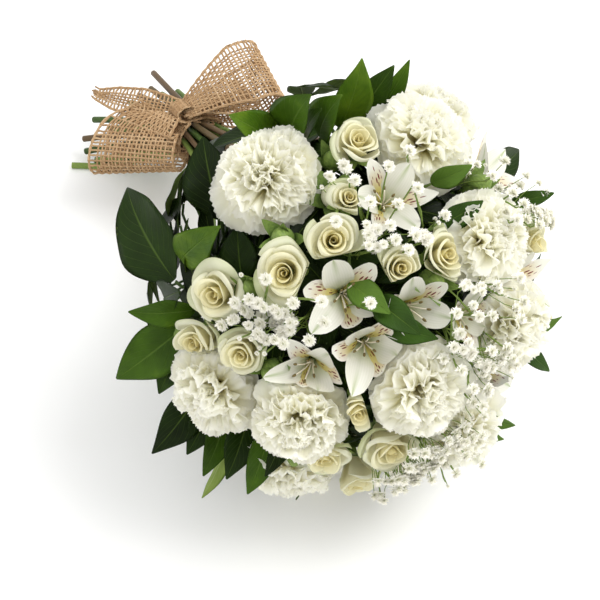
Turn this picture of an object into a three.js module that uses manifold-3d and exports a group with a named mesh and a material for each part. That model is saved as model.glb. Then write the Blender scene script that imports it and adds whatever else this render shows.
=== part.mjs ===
// A hand-tied bunch of white carnations with cream spray roses, alstroemerias, gypsophila and
// leaves, lying on its side and tied with a jute ribbon. Millimetres, +Z up, flower heads towards +X.
// Everything is placed in the bunch's own frame: u across, w up out of the lying side, a along the
// stems from the binding towards the heads. A place on the domed head is two angles in degrees,
// [around the axis, off the axis], seen from the middle of the dome.
import * as THREE from "three";
import Module from "manifold-3d";

const wasm = await Module();
wasm.setup();
const { Manifold, Mesh } = wasm;

const DEGREE = Math.PI / 180;
const GAP = 0.35; // clear space left between two neighbouring pieces
const SEAM = 1.0; // half the space left between two blooms
const LIFT = 20 * DEGREE; // slope of the bunch's axis above the table
const HEAD_BACK = 250; // binding to the middle of the dome
const HEAD_DROP = 13; // the dome hangs this much below the stems' axis
const HEAD_HEIGHT = 133; // middle of the dome above the table
const BINDING_X = -141; // binding along the length of the whole bunch
const BINDING_Y = 3.5; // and across it
const BINDING_HEIGHT = HEAD_HEIGHT - HEAD_BACK * Math.sin(LIFT) + HEAD_DROP * Math.cos(LIFT);
const SINK = 1.5; // how far a petal may press below the table before it is cut flat
const LEAF_LIFT = 0.8; // lowest a leaf's middle may lie

const STEM_PITCH = 5.7; // centre to centre in the tied bundle
const TAIL_END = -100; // the next numbers are reached here
const TAIL_SPREAD = [15, 13]; // centre to centre, across and up
const TAIL_SHIFT = [-44, -14]; // the tails lean sideways and down
const TAIL_CROSS = 16; // and the lower rows lean further sideways, as in a bunch tied in a spiral
const NECK_END = 32; // the bundle is regular up to here
const NECK_PITCH = 7.2;
const TAIL_LENGTH = [58, 102];
const STEM_FLOOR = 2.2; // lowest middle line of a stem

const CARNATION_REACH = 126; // middle of the dome to the middle of a bloom
const ROSE_REACH = 126;
const ALSTROEMERIA_REACH = 124;
const FACING = 0.78; // share of the off-axis angle that a bloom leans by
const FREE_SHARE = 0.78; // share of a bloom that its neighbours leave in shape

// [around, off, share of full size]
const CARNATIONS = [
  [114, 77, 1.0], [65, 70, 1.0], [44, 96, 0.95], [45, 39, 1.0], [183, 68, 1.0], [190, 42, 1.0],
  [200, 7, 1.05], [227, 68, 1.0], [1, 29, 1.0], [284, 30, 1.0], [253, 90, 1.0], [290, 90, 1.02],
];
// [around, off, share of full size, spray]
const ROSES = [
  [149, 68, 1.05, 0], [166, 72, 1.0, 0], [163, 56, 0.9, 0], [132, 53, 1.05, 0],
  [113, 49, 1.05, 1], [100, 56, 0.72, 1], [87, 71, 0.9, 1], [72, 33, 0.95, 1], [97, 33, 0.85, 1],
  [190, 25, 0.9, 2], [213, 42, 1.0, 2], [231, 27, 1.1, 2], [246, 58, 0.95, 2], [272, 62, 1.0, 2],
  [19, 50, 1.0, 3], [337, 60, 1.0, 3],
];
// [around, off, share of full size, spray]
const ALSTROEMERIAS = [
  [126, 36, 1.0, 0], [147, 22, 1.0, 0], [168, 37, 0.95, 0],
  [86, 52, 0.9, 1], [98, 20, 0.9, 1],
  [28, 78, 1.0, 2],
  [8, 42, 0.95, 3], [38, 17, 0.8, 3], [3, 72, 1.0, 3],
  [262, 43, 0.95, 4], [315, 56, 1.0, 4],
];
// [around, off, spread in degrees, florets]
const GYPSOPHILA = [
  [145, 47, 13, 8], [92, 50, 15, 7], [38, 50, 12, 6], [50, 12, 13, 7], [263, 33, 14, 7],
];
// [base around, off, radius, tip around, off, radius, width]
const SPRIG_LEAVES = [
  [
    [157, 92, 122, 142, 117, 158, 43], [150, 92, 122, 132, 74, 138, 24], [134, 94, 106, 118, 104, 142, 32],
    [147, 70, 104, 131, 80, 112, 24], [162, 82, 116, 163, 88, 156, 18],
  ],
  [
    [103, 96, 112, 111, 91, 156, 26], [99, 94, 112, 95, 79, 160, 32], [96, 90, 112, 93, 79, 147, 20],
    [91, 88, 112, 89, 76, 158, 25],
  ],
  [[82, 92, 112, 80, 84, 165, 24], [75, 96, 112, 69, 88, 154, 20], [66, 99, 112, 64, 90, 157, 14]],
  [
    [171, 92, 108, 186, 98, 164, 32], [176, 96, 106, 190, 90, 144, 24], [196, 92, 110, 201, 87, 170, 27],
    [201, 90, 108, 206, 84, 154, 22], [206, 86, 108, 211, 80, 158, 21], [211, 90, 110, 212, 77, 170, 25],
    [205, 74, 106, 211, 72, 152, 22], [208, 64, 108, 216, 68, 154, 19], [205, 56, 108, 207, 56, 148, 15],
    [241, 84, 112, 238, 76, 150, 14],
  ],
  [
    [312, 86, 110, 312, 97, 158, 27], [333, 84, 112, 345, 92, 160, 28], [18, 92, 112, 13, 98, 160, 27],
    [273, 90, 110, 270, 103, 142, 22], [325, 92, 110, 306, 106, 148, 24], [350, 92, 112, 357, 104, 156, 22],
  ],
];
const ROSE_LEAVES = [
  [],
  [
    [116, 30, 118, 110, 17, 142, 18], [124, 24, 112, 92, 12, 134, 16], [119, 38, 112, 116, 25, 134, 17],
    [69, 42, 122, 57, 46, 143, 14], [68, 55, 122, 61, 54, 148, 14],
  ],
  [[296, 34, 118, 306, 38, 146, 14], [290, 44, 118, 299, 47, 146, 14]],
  [[343, 34, 122, 330, 43, 146, 11], [350, 34, 122, 358, 38, 150, 10], [24, 66, 122, 20, 66, 150, 11]],
];

// Across (u), up (w) and along (a) from the binding.
const at = (u, w, a) => new THREE.Vector3(u, w, a);
const UP = at(0, Math.cos(LIFT), Math.sin(LIFT)); // the table's upward direction in the bunch's frame
const height = (p) => BINDING_HEIGHT + p.dot(UP);
const toWorld = new THREE.Matrix4()
  .makeBasis(
    new THREE.Vector3(0, 1, 0),
    new THREE.Vector3(-Math.sin(LIFT), 0, Math.cos(LIFT)),
    new THREE.Vector3(Math.cos(LIFT), 0, Math.sin(LIFT)),
  )
  .setPosition(BINDING_X, BINDING_Y, BINDING_HEIGHT);
const HEAD = at(0, -HEAD_DROP, HEAD_BACK);

function direction(around, off) {
  const s = Math.sin(off * DEGREE);
  return at(s * Math.cos(around * DEGREE), s * Math.sin(around * DEGREE), Math.cos(off * DEGREE));
}
const onDome = (around, off, radius) => HEAD.clone().addScaledVector(direction(around, off), radius);

// An even scatter between 0 and 1 that is the same on every run.
function scatter(seed, i) {
  const v = Math.sin(seed * 12.9898 + i * 78.233) * 43758.5453;
  return v - Math.floor(v);
}
const between = (low, high, share) => low + (high - low) * share;

// Two directions square to an axis, turned by spin.
function across(axis, spin) {
  const helper = Math.abs(axis.z) < 0.9 ? at(0, 0, 1) : at(1, 0, 0);
  const e = new THREE.Vector3().crossVectors(helper, axis).normalize();
  const f = new THREE.Vector3().crossVectors(axis, e);
  return [
    e.clone().multiplyScalar(Math.cos(spin)).addScaledVector(f, Math.sin(spin)),
    f.clone().multiplyScalar(Math.cos(spin)).addScaledVector(e, -Math.sin(spin)),
  ];
}

// A closed body from a start point, rings of equally many points and an end point. The rings run
// counter-clockwise seen against the way from start to end.
function body(start, rings, end) {
  const n = rings[0].length;
  const points = [start, ...rings.flat(), end];
  const faces = [];
  for (let j = 0; j < n; j++) {
    const k = (j + 1) % n;
    faces.push(0, 1 + k, 1 + j);
    for (let i = 0; i + 1 < rings.length; i++) {
      const p = 1 + i * n;
      faces.push(p + j, p + k, p + n + k, p + j, p + n + k, p + n + j);
    }
    const last = 1 + (rings.length - 1) * n;
    faces.push(last + j, last + k, points.length - 1);
  }
  const vertices = new Float32Array(points.length * 3);
  points.forEach((p, i) => p.clone().applyMatrix4(toWorld).toArray(vertices, i * 3));
  const solid = new Manifold(
    new Mesh({ numProp: 3, vertProperties: vertices, triVerts: new Uint32Array(faces) }),
  );
  if (solid.volume() > 0) return solid;
  for (let i = 0; i < faces.length; i += 3) [faces[i + 1], faces[i + 2]] = [faces[i + 2], faces[i + 1]];
  return new Manifold(
    new Mesh({ numProp: 3, vertProperties: vertices, triVerts: new Uint32Array(faces) }),
  );
}

// A round rod along a line of points, its rings carried along without twisting.
function rod(line, radii, sides, grow = 0) {
  let side = null;
  const rings = line.map((p, i) => {
    const way = line[Math.min(i + 1, line.length - 1)].clone().sub(line[Math.max(i - 1, 0)]).normalize();
    if (!side) [side] = across(way, 0);
    side = side.clone().addScaledVector(way, -side.dot(way)).normalize();
    const other = new THREE.Vector3().crossVectors(way, side);
    return Array.from({ length: sides }, (_, j) => {
      const t = (2 * Math.PI * j) / sides;
      return p
        .clone()
        .addScaledVector(side, radii[i] * Math.cos(t))
        .addScaledVector(other, radii[i] * Math.sin(t));
    });
  });
  return body(past(line[1], line[0], grow), rings, past(line[line.length - 2], line[line.length - 1], grow));
}
// The second point, moved on by a length in the direction from the first.
const past = (p, q, length) => q.clone().addScaledVector(q.clone().sub(p).normalize(), length);

// A flat strip: middle line, width direction at each point, width at each point, thickness.
function strip(line, ways, widths, thickness) {
  const rings = line.map((p, i) => {
    const along = line[Math.min(i + 1, line.length - 1)].clone().sub(line[Math.max(i - 1, 0)]).normalize();
    const wide = ways[i].clone().addScaledVector(along, -ways[i].dot(along)).normalize();
    const thin = new THREE.Vector3().crossVectors(along, wide);
    return [[1, 1], [-1, 1], [-1, -1], [1, -1]].map(([s, t]) =>
      p
        .clone()
        .addScaledVector(wide, (s * widths[i]) / 2)
        .addScaledVector(thin, (t * thickness) / 2),
    );
  });
  return body(line[0], rings, line[line.length - 1]);
}

// Blooms and the room that each has between its neighbours

const blooms = [];
function addBloom(kind, [around, off, size], reach, radius, half, index) {
  const axis = direction(around, off * FACING);
  const centre = onDome(around, off, reach);
  blooms.push({ kind, index, axis, centre, size, radius: radius * size, half: half * size });
}
CARNATIONS.forEach((row, i) => addBloom("carnation", row, CARNATION_REACH, 36, 19, i));
ROSES.forEach((row, i) => addBloom("rose", row, ROSE_REACH, 19, 14, i));
ALSTROEMERIAS.forEach((row, i) => addBloom("alstroemeria", row, ALSTROEMERIA_REACH, 30, 28, i));

// Each neighbour, and the table, is a wall: a direction from the bloom's middle and a distance.
for (const b of blooms) {
  b.walls = [{ way: UP.clone().negate(), far: height(b.centre) + SINK }];
  for (const other of blooms) {
    const way = other.centre.clone().sub(b.centre);
    const span = way.length();
    if (other === b || span > b.radius + other.radius + 20) continue;
    const far = (span * span + b.radius ** 2 - other.radius ** 2) / (2 * span) - SEAM;
    b.walls.push({ way: way.normalize(), far: Math.max(far, 4) });
  }
}

// Draws a point of a bloom in towards its middle where a wall would be passed, evenly enough that
// layers stay in order.
function press(bloom, p) {
  const v = p.clone().sub(bloom.centre);
  const length = v.length();
  if (length < 1e-6) return p;
  let reach = Infinity;
  for (const { way, far } of bloom.walls) {
    const s = v.dot(way) / length;
    if (s > 1e-6) reach = Math.min(reach, far / s);
  }
  const x = length / reach;
  if (x <= FREE_SHARE) return p;
  const rest = 1 - FREE_SHARE;
  const share = FREE_SHARE + rest * (1 - Math.exp(-(x - FREE_SHARE) / rest));
  return bloom.centre.clone().addScaledVector(v, (reach * share) / length);
}
// How far outside the nearest bloom a point lies; a bloom counts as a pressed, flattened ball.
function free(p, own) {
  let room = 99;
  for (const b of blooms) {
    if (b === own) continue;
    const v = p.clone().sub(b.centre);
    const length = v.length();
    if (length > b.radius + 30) continue;
    const rise = v.dot(b.axis) / length;
    const ball = 1 / Math.hypot(rise / b.half, Math.sqrt(Math.max(1 - rise * rise, 0)) / b.radius);
    const skin = press(b, b.centre.clone().addScaledVector(v, ball / length)).distanceTo(b.centre);
    room = Math.min(room, length - skin);
  }
  return room;
}
for (const b of blooms) b.base = press(b, b.centre.clone().addScaledVector(b.axis, -b.half));

// A bloom from rows of [radius, height above its base, edge]: an edge row is wavy and toothed.
function layered(bloom, rows, count, petals, tooth, wave, growth, grow) {
  const [e, f] = across(bloom.axis, bloom.index * 1.7);
  const foot = bloom.centre.clone().addScaledVector(bloom.axis, -bloom.half);
  const place = (r, z, t) => {
    const p = press(
      bloom,
      foot
        .clone()
        .addScaledVector(bloom.axis, z * bloom.size)
        .addScaledVector(e, r * bloom.size * Math.cos(t))
        .addScaledVector(f, r * bloom.size * Math.sin(t)),
    );
    return past(bloom.centre, p, grow);
  };
  const rings = rows.slice(1, -1).map(([r, z, edge], i) =>
    Array.from({ length: count }, (_, j) => {
      const t = (2 * Math.PI * j) / count;
      const lobe = Math.cos(petals * t + i * 2.4);
      const jag = scatter(bloom.index + 5, i * count + j) - 0.5;
      const radius = r * (1 + edge * (growth * lobe + tooth * (j % 2 ? 1 : -1) + 0.12 * jag));
      const lift = edge * wave * (Math.sin((petals / 2) * 3 * t + i * 1.9) + jag);
      return place(radius, z + lift, t);
    }),
  );
  return body(place(0, rows[0][1], 0), rings, place(0, rows[rows.length - 1][1], 0));
}

const CARNATION_ROWS = [
  [0, 0, 0], [5, 0, 0], [35.5, 11, 1], [20, 14, 0.2], [32, 23, 1], [15, 21, 0.2], [23, 32, 1],
  [8, 28, 0.2], [11, 38, 0.8], [0, 33, 0],
];
const ROSE_ROWS = [
  [0, 0, 0], [3, 0, 0], [13.5, 7, 0], [18.5, 17, 1], [14.5, 18, 0.3], [15, 25, 1], [10, 23, 0.3],
  [8, 28, 1], [0, 23, 0],
];

// An alstroemeria: a funnel of six tepals, its inside a millimetre or so from its outside.
const ALSTROEMERIA_ROWS = [
  [0, 0, 0, 0, 1], [2.6, 0.5, 0, 0, 1], [9, 15, 0, 0, 1], [31, 38, 0.42, 1, 1], [16, 29.5, 0.25, 0, -1],
  [6, 18, 0, 0, -1], [0, 12, 0, 0, -1],
];
function alstroemeria(bloom, grow) {
  const [e, f] = across(bloom.axis, bloom.index * 1.3);
  const foot = bloom.centre.clone().addScaledVector(bloom.axis, -bloom.half);
  const place = ([r, z, , , side], t, more) => {
    const wide = more && r * more * bloom.size + side * grow;
    return press(
      bloom,
      foot
        .clone()
        .addScaledVector(bloom.axis, z * bloom.size - side * grow * 0.7)
        .addScaledVector(e, wide * Math.cos(t))
        .addScaledVector(f, wide * Math.sin(t)),
    );
  };
  const count = 12;
  const rings = ALSTROEMERIA_ROWS.slice(1, -1).map((row) =>
    Array.from({ length: count }, (_, j) => {
      const t = (2 * Math.PI * j) / count;
      return place(row, t, j % 2 ? 1 + row[3] * 0.04 : 1 - row[2]);
    }),
  );
  const [first, last] = [ALSTROEMERIA_ROWS[0], ALSTROEMERIA_ROWS[ALSTROEMERIA_ROWS.length - 1]];
  return body(place([0, ...first.slice(1)], 0, 0), rings, place(last, 0, 0));
}

// Stems

// The bundle is a honeycomb of sites that opens towards both ends.
const sites = [];
for (let i = -4; i <= 4; i++)
  for (let j = -4; j <= 4; j++) sites.push([i + j / 2, (j * Math.sqrt(3)) / 2]);
const ringOf = (p) => Math.round(Math.hypot(...p) * 1e6);
sites.sort((p, q) => ringOf(p) - ringOf(q) || p[0] - q[0] || p[1] - q[1]);

const mains = [];
function addMain(owner, target, way, radius) {
  mains.push({ owner, target, way, radius });
}
const CALYX = 27; // length of a carnation's calyx
for (const b of blooms.filter((b) => b.kind === "carnation"))
  addMain(`carnation_stem_${b.index}`, b.base.clone().addScaledVector(b.axis, -CALYX), b.axis, 2.5);
function mean(rows) {
  const sum = at(0, 0, 0);
  for (const [around, off] of rows) sum.add(direction(around, off));
  return sum.normalize();
}
const hub = (way, radius) => HEAD.clone().addScaledVector(way, radius);
const ROSE_HUBS = [0, 1, 2, 3].map((s) => hub(mean(ROSES.filter((r) => r[3] === s)), 66));
const ALSTROEMERIA_HUBS = [0, 1, 2, 3, 4].map((s) => hub(mean(ALSTROEMERIAS.filter((r) => r[3] === s)), 62));
const GYPSOPHILA_HUBS = GYPSOPHILA.map(([around, off]) => onDome(around, off, 84));
const SPRIG_HUBS = SPRIG_LEAVES.map((leaves) => hub(mean(leaves), 92).add(at(0, 0, -22)));
ROSE_HUBS.forEach((p, i) => addMain(`rose_spray_${i}`, p, p.clone().normalize(), 2.5));
ALSTROEMERIA_HUBS.forEach((p, i) => addMain(`alstroemeria_${i}`, p, p.clone().normalize(), 2.3));
SPRIG_HUBS.forEach((p, i) => addMain(`sprig_${i}`, p, p.clone().normalize(), 2.4));
GYPSOPHILA_HUBS.forEach((p, i) => addMain(`gypsophila_${i}`, p, p.clone().normalize(), 2.1));

// Every stem takes the site that lies towards its own head: swaps go on while they shorten the sum.
const aim = mains.map((m) => [m.target.x / 34, m.target.y / 34]);
const cost = (m, s) => (aim[m][0] - sites[s][0]) ** 2 + (aim[m][1] - sites[s][1]) ** 2;
const taken = mains.map((_, i) => i);
for (let pass = 0, moved = true; moved && pass < 60; pass++) {
  moved = false;
  for (let i = 0; i < taken.length; i++)
    for (let j = i + 1; j < taken.length; j++)
      if (cost(i, taken[i]) + cost(j, taken[j]) > cost(i, taken[j]) + cost(j, taken[i]) + 1e-9) {
        [taken[i], taken[j]] = [taken[j], taken[i]];
        moved = true;
      }
}

// Where a site lies at a distance along the axis.
function sitePoint([x, y], a) {
  if (a >= 0) {
    const pitch = between(STEM_PITCH, NECK_PITCH, (a / NECK_END) ** 1.5);
    return at(x * pitch, y * pitch, a);
  }
  const share = (a / TAIL_END) ** 1.4;
  const lean = (a / TAIL_END) ** 1.6;
  const p = at(
    x * between(STEM_PITCH, TAIL_SPREAD[0], share) + (TAIL_SHIFT[0] + TAIL_CROSS * y) * lean,
    y * between(STEM_PITCH, TAIL_SPREAD[1], share) + TAIL_SHIFT[1] * lean,
    a,
  );
  const low = STEM_FLOOR - height(p);
  return low > 0 ? p.addScaledVector(UP, low) : p;
}

const filled = []; // round samples of what is already placed: point, radius, owner
function fill(line, radii, owner) {
  for (let i = 0; i + 1 < line.length; i++)
    for (let k = 0; k < 4; k++)
      filled.push([
        line[i].clone().lerp(line[i + 1], k / 4),
        between(radii[i], radii[i + 1], k / 4),
        owner,
      ]);
}

// A curve from one point to another that bends clear of what is already placed.
const BENDS = [[0, 0]];
for (const size of [6, 12, 20, 30])
  for (let k = 0; k < 8; k++)
    BENDS.push([size * Math.cos((k * Math.PI) / 4), size * Math.sin((k * Math.PI) / 4)]);
const ENOUGH = 1.2;
const PETAL_SHARE = 0.3; // brushing a petal matters less than meeting a stem
function route(start, startWay, end, endWay, radius, owner, own, steps) {
  const span = start.distanceTo(end);
  const [e, f] = across(end.clone().sub(start).normalize(), 0);
  const middle = start.clone().lerp(end, 0.5);
  const near = filled.filter(([p, , o]) => o !== owner && p.distanceTo(middle) < span * 0.5 + 40);
  let best = null;
  for (const [x, y] of BENDS) {
    const inner = start.clone().addScaledVector(startWay, span * 0.36).addScaledVector(e, x).addScaledVector(f, y);
    const outer = end.clone().addScaledVector(endWay, -span * 0.36).addScaledVector(e, x).addScaledVector(f, y);
    const curve = new THREE.CubicBezierCurve3(start, inner, outer, end);
    const line = curve.getPoints(steps);
    let clear = ENOUGH;
    for (let i = 0; i < steps && clear > -9; i++)
      for (let k = i ? 0 : 1; k < 3; k++) {
        const p = line[i].clone().lerp(line[i + 1], k / 3);
        for (const [q, r] of near) clear = Math.min(clear, p.distanceTo(q) - r - radius);
        clear = Math.min(clear, (free(p, own) - radius) * PETAL_SHARE);
      }
    const score = clear - 0.012 * Math.hypot(x, y);
    if (!best || score > best.score + 1e-9) best = { score, line };
  }
  return best;
}

const stemLines = new Map();
mains.forEach((m, i) => {
  const site = sites[taken[i]];
  const end = between(-TAIL_LENGTH[0], -TAIL_LENGTH[1], scatter(3, i));
  const tail = [end, end * 0.5, 0, NECK_END].map((a) => sitePoint(site, a));
  m.tail = tail;
  fill(tail, tail.map(() => m.radius), m.owner);
});
mains.forEach((m) => {
  const neck = m.tail[3];
  const way = neck.clone().sub(m.tail[2]).normalize();
  const own = blooms.find((b) => m.owner === `carnation_stem_${b.index}` && b.kind === "carnation");
  const found = route(neck, way, m.target, m.way, m.radius, m.owner, own, 4);
  m.line = [...m.tail, ...found.line.slice(1)];
  const calyx = own ? [m.target, own.base] : null;
  fill(found.line, found.line.map(() => m.radius), m.owner);
  if (calyx) fill(calyx, [6.5, 6.5], m.owner);
  stemLines.set(m.owner, m);
});

// Parts of a node, each as a function that draws it, grown by a margin on every side.
const nodes = new Map();
function add(name, colour, roughness, draw) {
  if (!nodes.has(name)) nodes.set(name, { colour, roughness, parts: [] });
  nodes.get(name).parts.push(draw);
}
const number = (i) => String(i + 1).padStart(2, "0");

const GREEN = "#5d7a45";
const mainRod = (m, from, to, sides) => (grow) =>
  rod(m.line, m.line.map((_, i) => between(from, to, i / (m.line.length - 1)) + grow), sides, grow);

for (const b of blooms.filter((b) => b.kind === "carnation")) {
  const m = stemLines.get(`carnation_stem_${b.index}`);
  const point = (d) => b.base.clone().addScaledVector(b.axis, -d);
  const line = [...m.line.slice(0, -1), point(CALYX), point(CALYX - 6), point(CALYX * 0.4), point(GAP)];
  const radii = [2.6, 2.6, 2.5, 2.5, 2.4, 2.4, 2.3, 2.6, 5, 6.6, 7];
  add(`carnation_stem_${number(b.index)}`, GREEN, 0.55, (grow) =>
    rod(line, radii.map((r) => r + grow), 5, grow),
  );
}

const BRANCH = 1.3;
// Branches leave the last length of their stem one after another.
function branchStart(m) {
  m.branches = (m.branches || 0) + 1;
  return m.line[m.line.length - 1].clone().lerp(m.line[m.line.length - 2], 0.06 + 0.7 * ((m.branches * 0.618) % 1));
}
const branchWay = (m) => m.line[m.line.length - 1].clone().sub(m.line[m.line.length - 2]).normalize();
// A branch from the head of a stem, then further rings of its own: [point, radius] pairs.
function branch(m, name, colour, end, endWay, radii, own, steps, sides, ending) {
  const found = route(branchStart(m), branchWay(m), end, endWay, radii[0], m.owner, own, steps);
  const widths = found.line.map((_, i) => between(radii[0], radii[1], i / steps));
  fill(found.line, widths, m.owner);
  const line = [...found.line, ...ending.map(([p]) => p)];
  const all = [...widths, ...ending.map(([, r]) => r)];
  add(name, colour, 0.6, (grow) => rod(line, all.map((r) => r + grow), sides, grow));
}

// A leaf on its stalk: four points a ring, both edges and the two sides of the middle vein. The
// blade is folded a little along the vein and arches towards the tip.
const LEAF_THICK = 1.5;
function leafOn(m, name, colour, [a0, o0, r0, a1, o1, r1, width]) {
  const base = onDome(a0, o0, r0);
  const tip = onDome(a1, o1, r1);
  const straight = tip.clone().sub(base).normalize();
  const out = base.clone().lerp(tip, 0.5).sub(HEAD).normalize().add(at(0, 0, 0.9));
  out.addScaledVector(straight, -out.dot(straight));
  if (out.length() < 0.35) out.copy(across(straight, 0)[0]);
  out.normalize();
  const bow = base.clone().lerp(tip, 0.5).addScaledVector(out, 0.16 * base.distanceTo(tip));
  const curve = new THREE.QuadraticBezierCurve3(base, bow, tip);
  const found = route(branchStart(m), branchWay(m), base, curve.getTangent(0), 1.2, m.owner, null, 2);
  fill(found.line, found.line.map(() => 1.2), m.owner);
  const stations = found.line.slice(0, -1).map((p, i) => [p, 1.2, 0, 1.2, i]);
  for (const t of [0.02, 0.26, 0.5, 0.74, 0.92]) {
    const w = Math.max((width / 2) * Math.sin(Math.PI * t ** 0.85) ** 0.8, 1);
    stations.push([curve.getPoint(t), w, t < 0.1 ? 0 : 0.24, LEAF_THICK / 2]);
  }
  const line = [...stations.map(([p]) => p), tip];
  const wides = [];
  for (let i = stations.length - 1, last = null; i >= 0; i--) {
    const along = line[i + 1].clone().sub(line[Math.max(i - 1, 0)]).normalize();
    const wide = new THREE.Vector3().crossVectors(out, along).normalize();
    if (last && wide.dot(last) < 0) wide.negate();
    wides[i] = last = wide;
  }
  add(name, colour, 0.6, (grow) => {
    const rings = stations.map(([p, w, fold, thick], i) => {
      const along = line[i + 1].clone().sub(line[Math.max(i - 1, 0)]).normalize();
      const wide = wides[i];
      const face = new THREE.Vector3().crossVectors(along, wide).normalize();
      return [[1, 0], [0, 1], [-1, 0], [0, -1]].map(([side, front]) =>
        rest(
          p
            .clone()
            .addScaledVector(wide, side * (w + grow * 5))
            .addScaledVector(face, Math.abs(side) * fold * (w + grow * 5) + front * (thick + grow)),
          front,
        ),
      );
    });
    return body(rest(line[0].clone(), 0), rings, rest(past(line[line.length - 2], tip, grow * 3), 0));
  });
}
// Keeps a point of a leaf off the table, its upper side a little higher than its lower.
function rest(p, front) {
  const short = LEAF_LIFT * (1 + 0.9 * front) - height(p);
  return short > 0 ? p.addScaledVector(UP, short) : p;
}

const ROSE_GREEN = "#4f6b34";
for (let s = 0; s < 4; s++) {
  const m = stemLines.get(`rose_spray_${s}`);
  const name = `rose_spray_${s + 1}`;
  add(name, ROSE_GREEN, 0.5, mainRod(m, 2.7, 2, 4));
  for (const b of blooms.filter((b) => b.kind === "rose" && ROSES[b.index][3] === s)) {
    const point = (d) => b.base.clone().addScaledVector(b.axis, -d);
    const cup = [[point(5), 4], [point(GAP), 4.4]];
    branch(m, name, ROSE_GREEN, point(9), b.axis, [BRANCH, BRANCH], b, 2, 5, cup);
  }
  for (const row of ROSE_LEAVES[s]) leafOn(m, name, ROSE_GREEN, row);
}

const PALE = "#eef0e2";
for (let s = 0; s < 5; s++) {
  const m = stemLines.get(`alstroemeria_${s}`);
  const name = `alstroemeria_spray_${s + 1}`;
  add(name, PALE, 0.5, mainRod(m, 2.6, 1.9, 4));
  for (const b of blooms.filter((b) => b.kind === "alstroemeria" && ALSTROEMERIAS[b.index][3] === s)) {
    branch(m, name, PALE, b.base.clone().addScaledVector(b.axis, 2), b.axis, [1.3, 1.3], b, 2, 4, []);
    add(name, PALE, 0.5, (grow) => alstroemeria(b, grow));
  }
}

const LEAF_GREEN = "#33502a";
SPRIG_LEAVES.forEach((leaves, s) => {
  const m = stemLines.get(`sprig_${s}`);
  const name = `foliage_sprig_${s + 1}`;
  add(name, LEAF_GREEN, 0.5, mainRod(m, 2.6, 1.8, 4));
  for (const row of leaves) leafOn(m, name, LEAF_GREEN, row);
});

// Gypsophila: florets in a widening spiral round each spray, just above the petals below them.
const GOLDEN = 137.5;
const FLORET = 4.4;
function overPetals(way) {
  for (let reach = 130; ; reach++) {
    const p = HEAD.clone().addScaledVector(way, reach);
    if (free(p) > FLORET + 1 || reach > 150) return p;
  }
}
GYPSOPHILA.forEach(([around, off, spread, count], s) => {
  const m = stemLines.get(`gypsophila_${s}`);
  const name = `gypsophila_spray_${s + 1}`;
  const white = "#f4f4ee";
  add(name, white, 0.7, mainRod(m, 2.3, 1.4, 4));
  const middle = direction(around, off);
  const [e, f] = across(middle, 0);
  for (let k = 0; k < count; k++) {
    const wide = Math.tan(spread * DEGREE * Math.sqrt((k + 0.6) / count));
    const t = (k * GOLDEN + 40 * scatter(s + 11, k)) * DEGREE;
    const way = middle
      .clone()
      .addScaledVector(e, wide * Math.cos(t))
      .addScaledVector(f, wide * Math.sin(t))
      .normalize();
    const centre = overPetals(way);
    const point = (d) => centre.clone().addScaledVector(way, d);
    const head = [[point(-3.4), 1.6], [point(0.6), FLORET], [point(1.8), 2.4]];
    branch(m, name, white, point(-6), way, [0.9, 0.8], null, 2, 4, head);
  }
});

// Ribbon

const WRAP_RADIUS = 20.9;
const WRAP_WIDTH = 20;
const WRAP_STEPS = 16;
const WRAP_MIDDLE = 1.5;
const KNOT = at(-7, WRAP_RADIUS + 5, 0);
const RIBBON_WIDTH = 60;
const RIBBON_THICK = 1.2;
function loop(out, up, wide, length, rise, width, shift, gather) {
  const line = [];
  const widths = [];
  const ways = [];
  const steps = 12;
  for (let i = 0; i <= steps; i++) {
    const t = (Math.PI * i) / steps;
    const x = length * Math.sin(t) ** 2;
    const y = rise * Math.sin(2 * t) * Math.sin(t) * 1.3;
    const open = Math.min(1, gather + (1.1 * x) / length);
    line.push(
      KNOT.clone()
        .addScaledVector(out, x)
        .addScaledVector(up, y + (i < steps / 2 ? 1 : -1))
        .addScaledVector(wide, shift * open),
    );
    widths.push(width * open);
    ways.push(wide);
  }
  return [line, ways, widths];
}
const RIGHT_LOOP = loop(
  at(0.98, 0.15, 0.11),
  at(-0.08, 0.87, 0.48),
  at(-0.08, -0.43, 0.9),
  74,
  17,
  RIBBON_WIDTH,
  2,
  0.28,
);
const LEFT_OUT = at(-0.62, -0.55, 0.56).normalize();
const LEFT_WIDE = at(-0.74, -0.03, -0.67).normalize();
const LEFT_LOOP = loop(
  LEFT_OUT,
  new THREE.Vector3().crossVectors(LEFT_WIDE, LEFT_OUT).normalize().multiplyScalar(-1),
  LEFT_WIDE,
  51,
  11,
  RIBBON_WIDTH * 1.2,
  29,
  0.6,
);
function ribbonEnd(points, wide, widths) {
  return [points.map((p) => at(...p)), points.map(() => wide), widths];
}
const LEFT_END = ribbonEnd(
  [[-7, 26, 0], [-18, 29, -12], [-32, 31, -30], [-45, 32, -52], [-54, 32, -70]],
  at(0.75, 0.6, -0.2),
  [14, 20, 25, 19, 9],
);
const RIGHT_END = ribbonEnd(
  [[-7, 26, 0], [8, 29, 8], [24, 28, 17], [40, 25, 27]],
  at(-0.25, -0.2, 0.9),
  [14, 18, 26, 34],
);
const wrapLine = [];
const wrapWays = [];
for (let i = 0; i <= WRAP_STEPS; i++) {
  const t = (110 + (350 * i) / WRAP_STEPS) * DEGREE;
  wrapLine.push(at(WRAP_RADIUS * Math.cos(t), WRAP_RADIUS * Math.sin(t), WRAP_MIDDLE));
  wrapWays.push(at(0, 0, 1));
}
const JUTE = "#b68d62";
const jute = (draw) => add("jute_ribbon", JUTE, 0.95, draw);
jute(() => strip(wrapLine, wrapWays, wrapLine.map(() => WRAP_WIDTH), 2));
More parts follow.
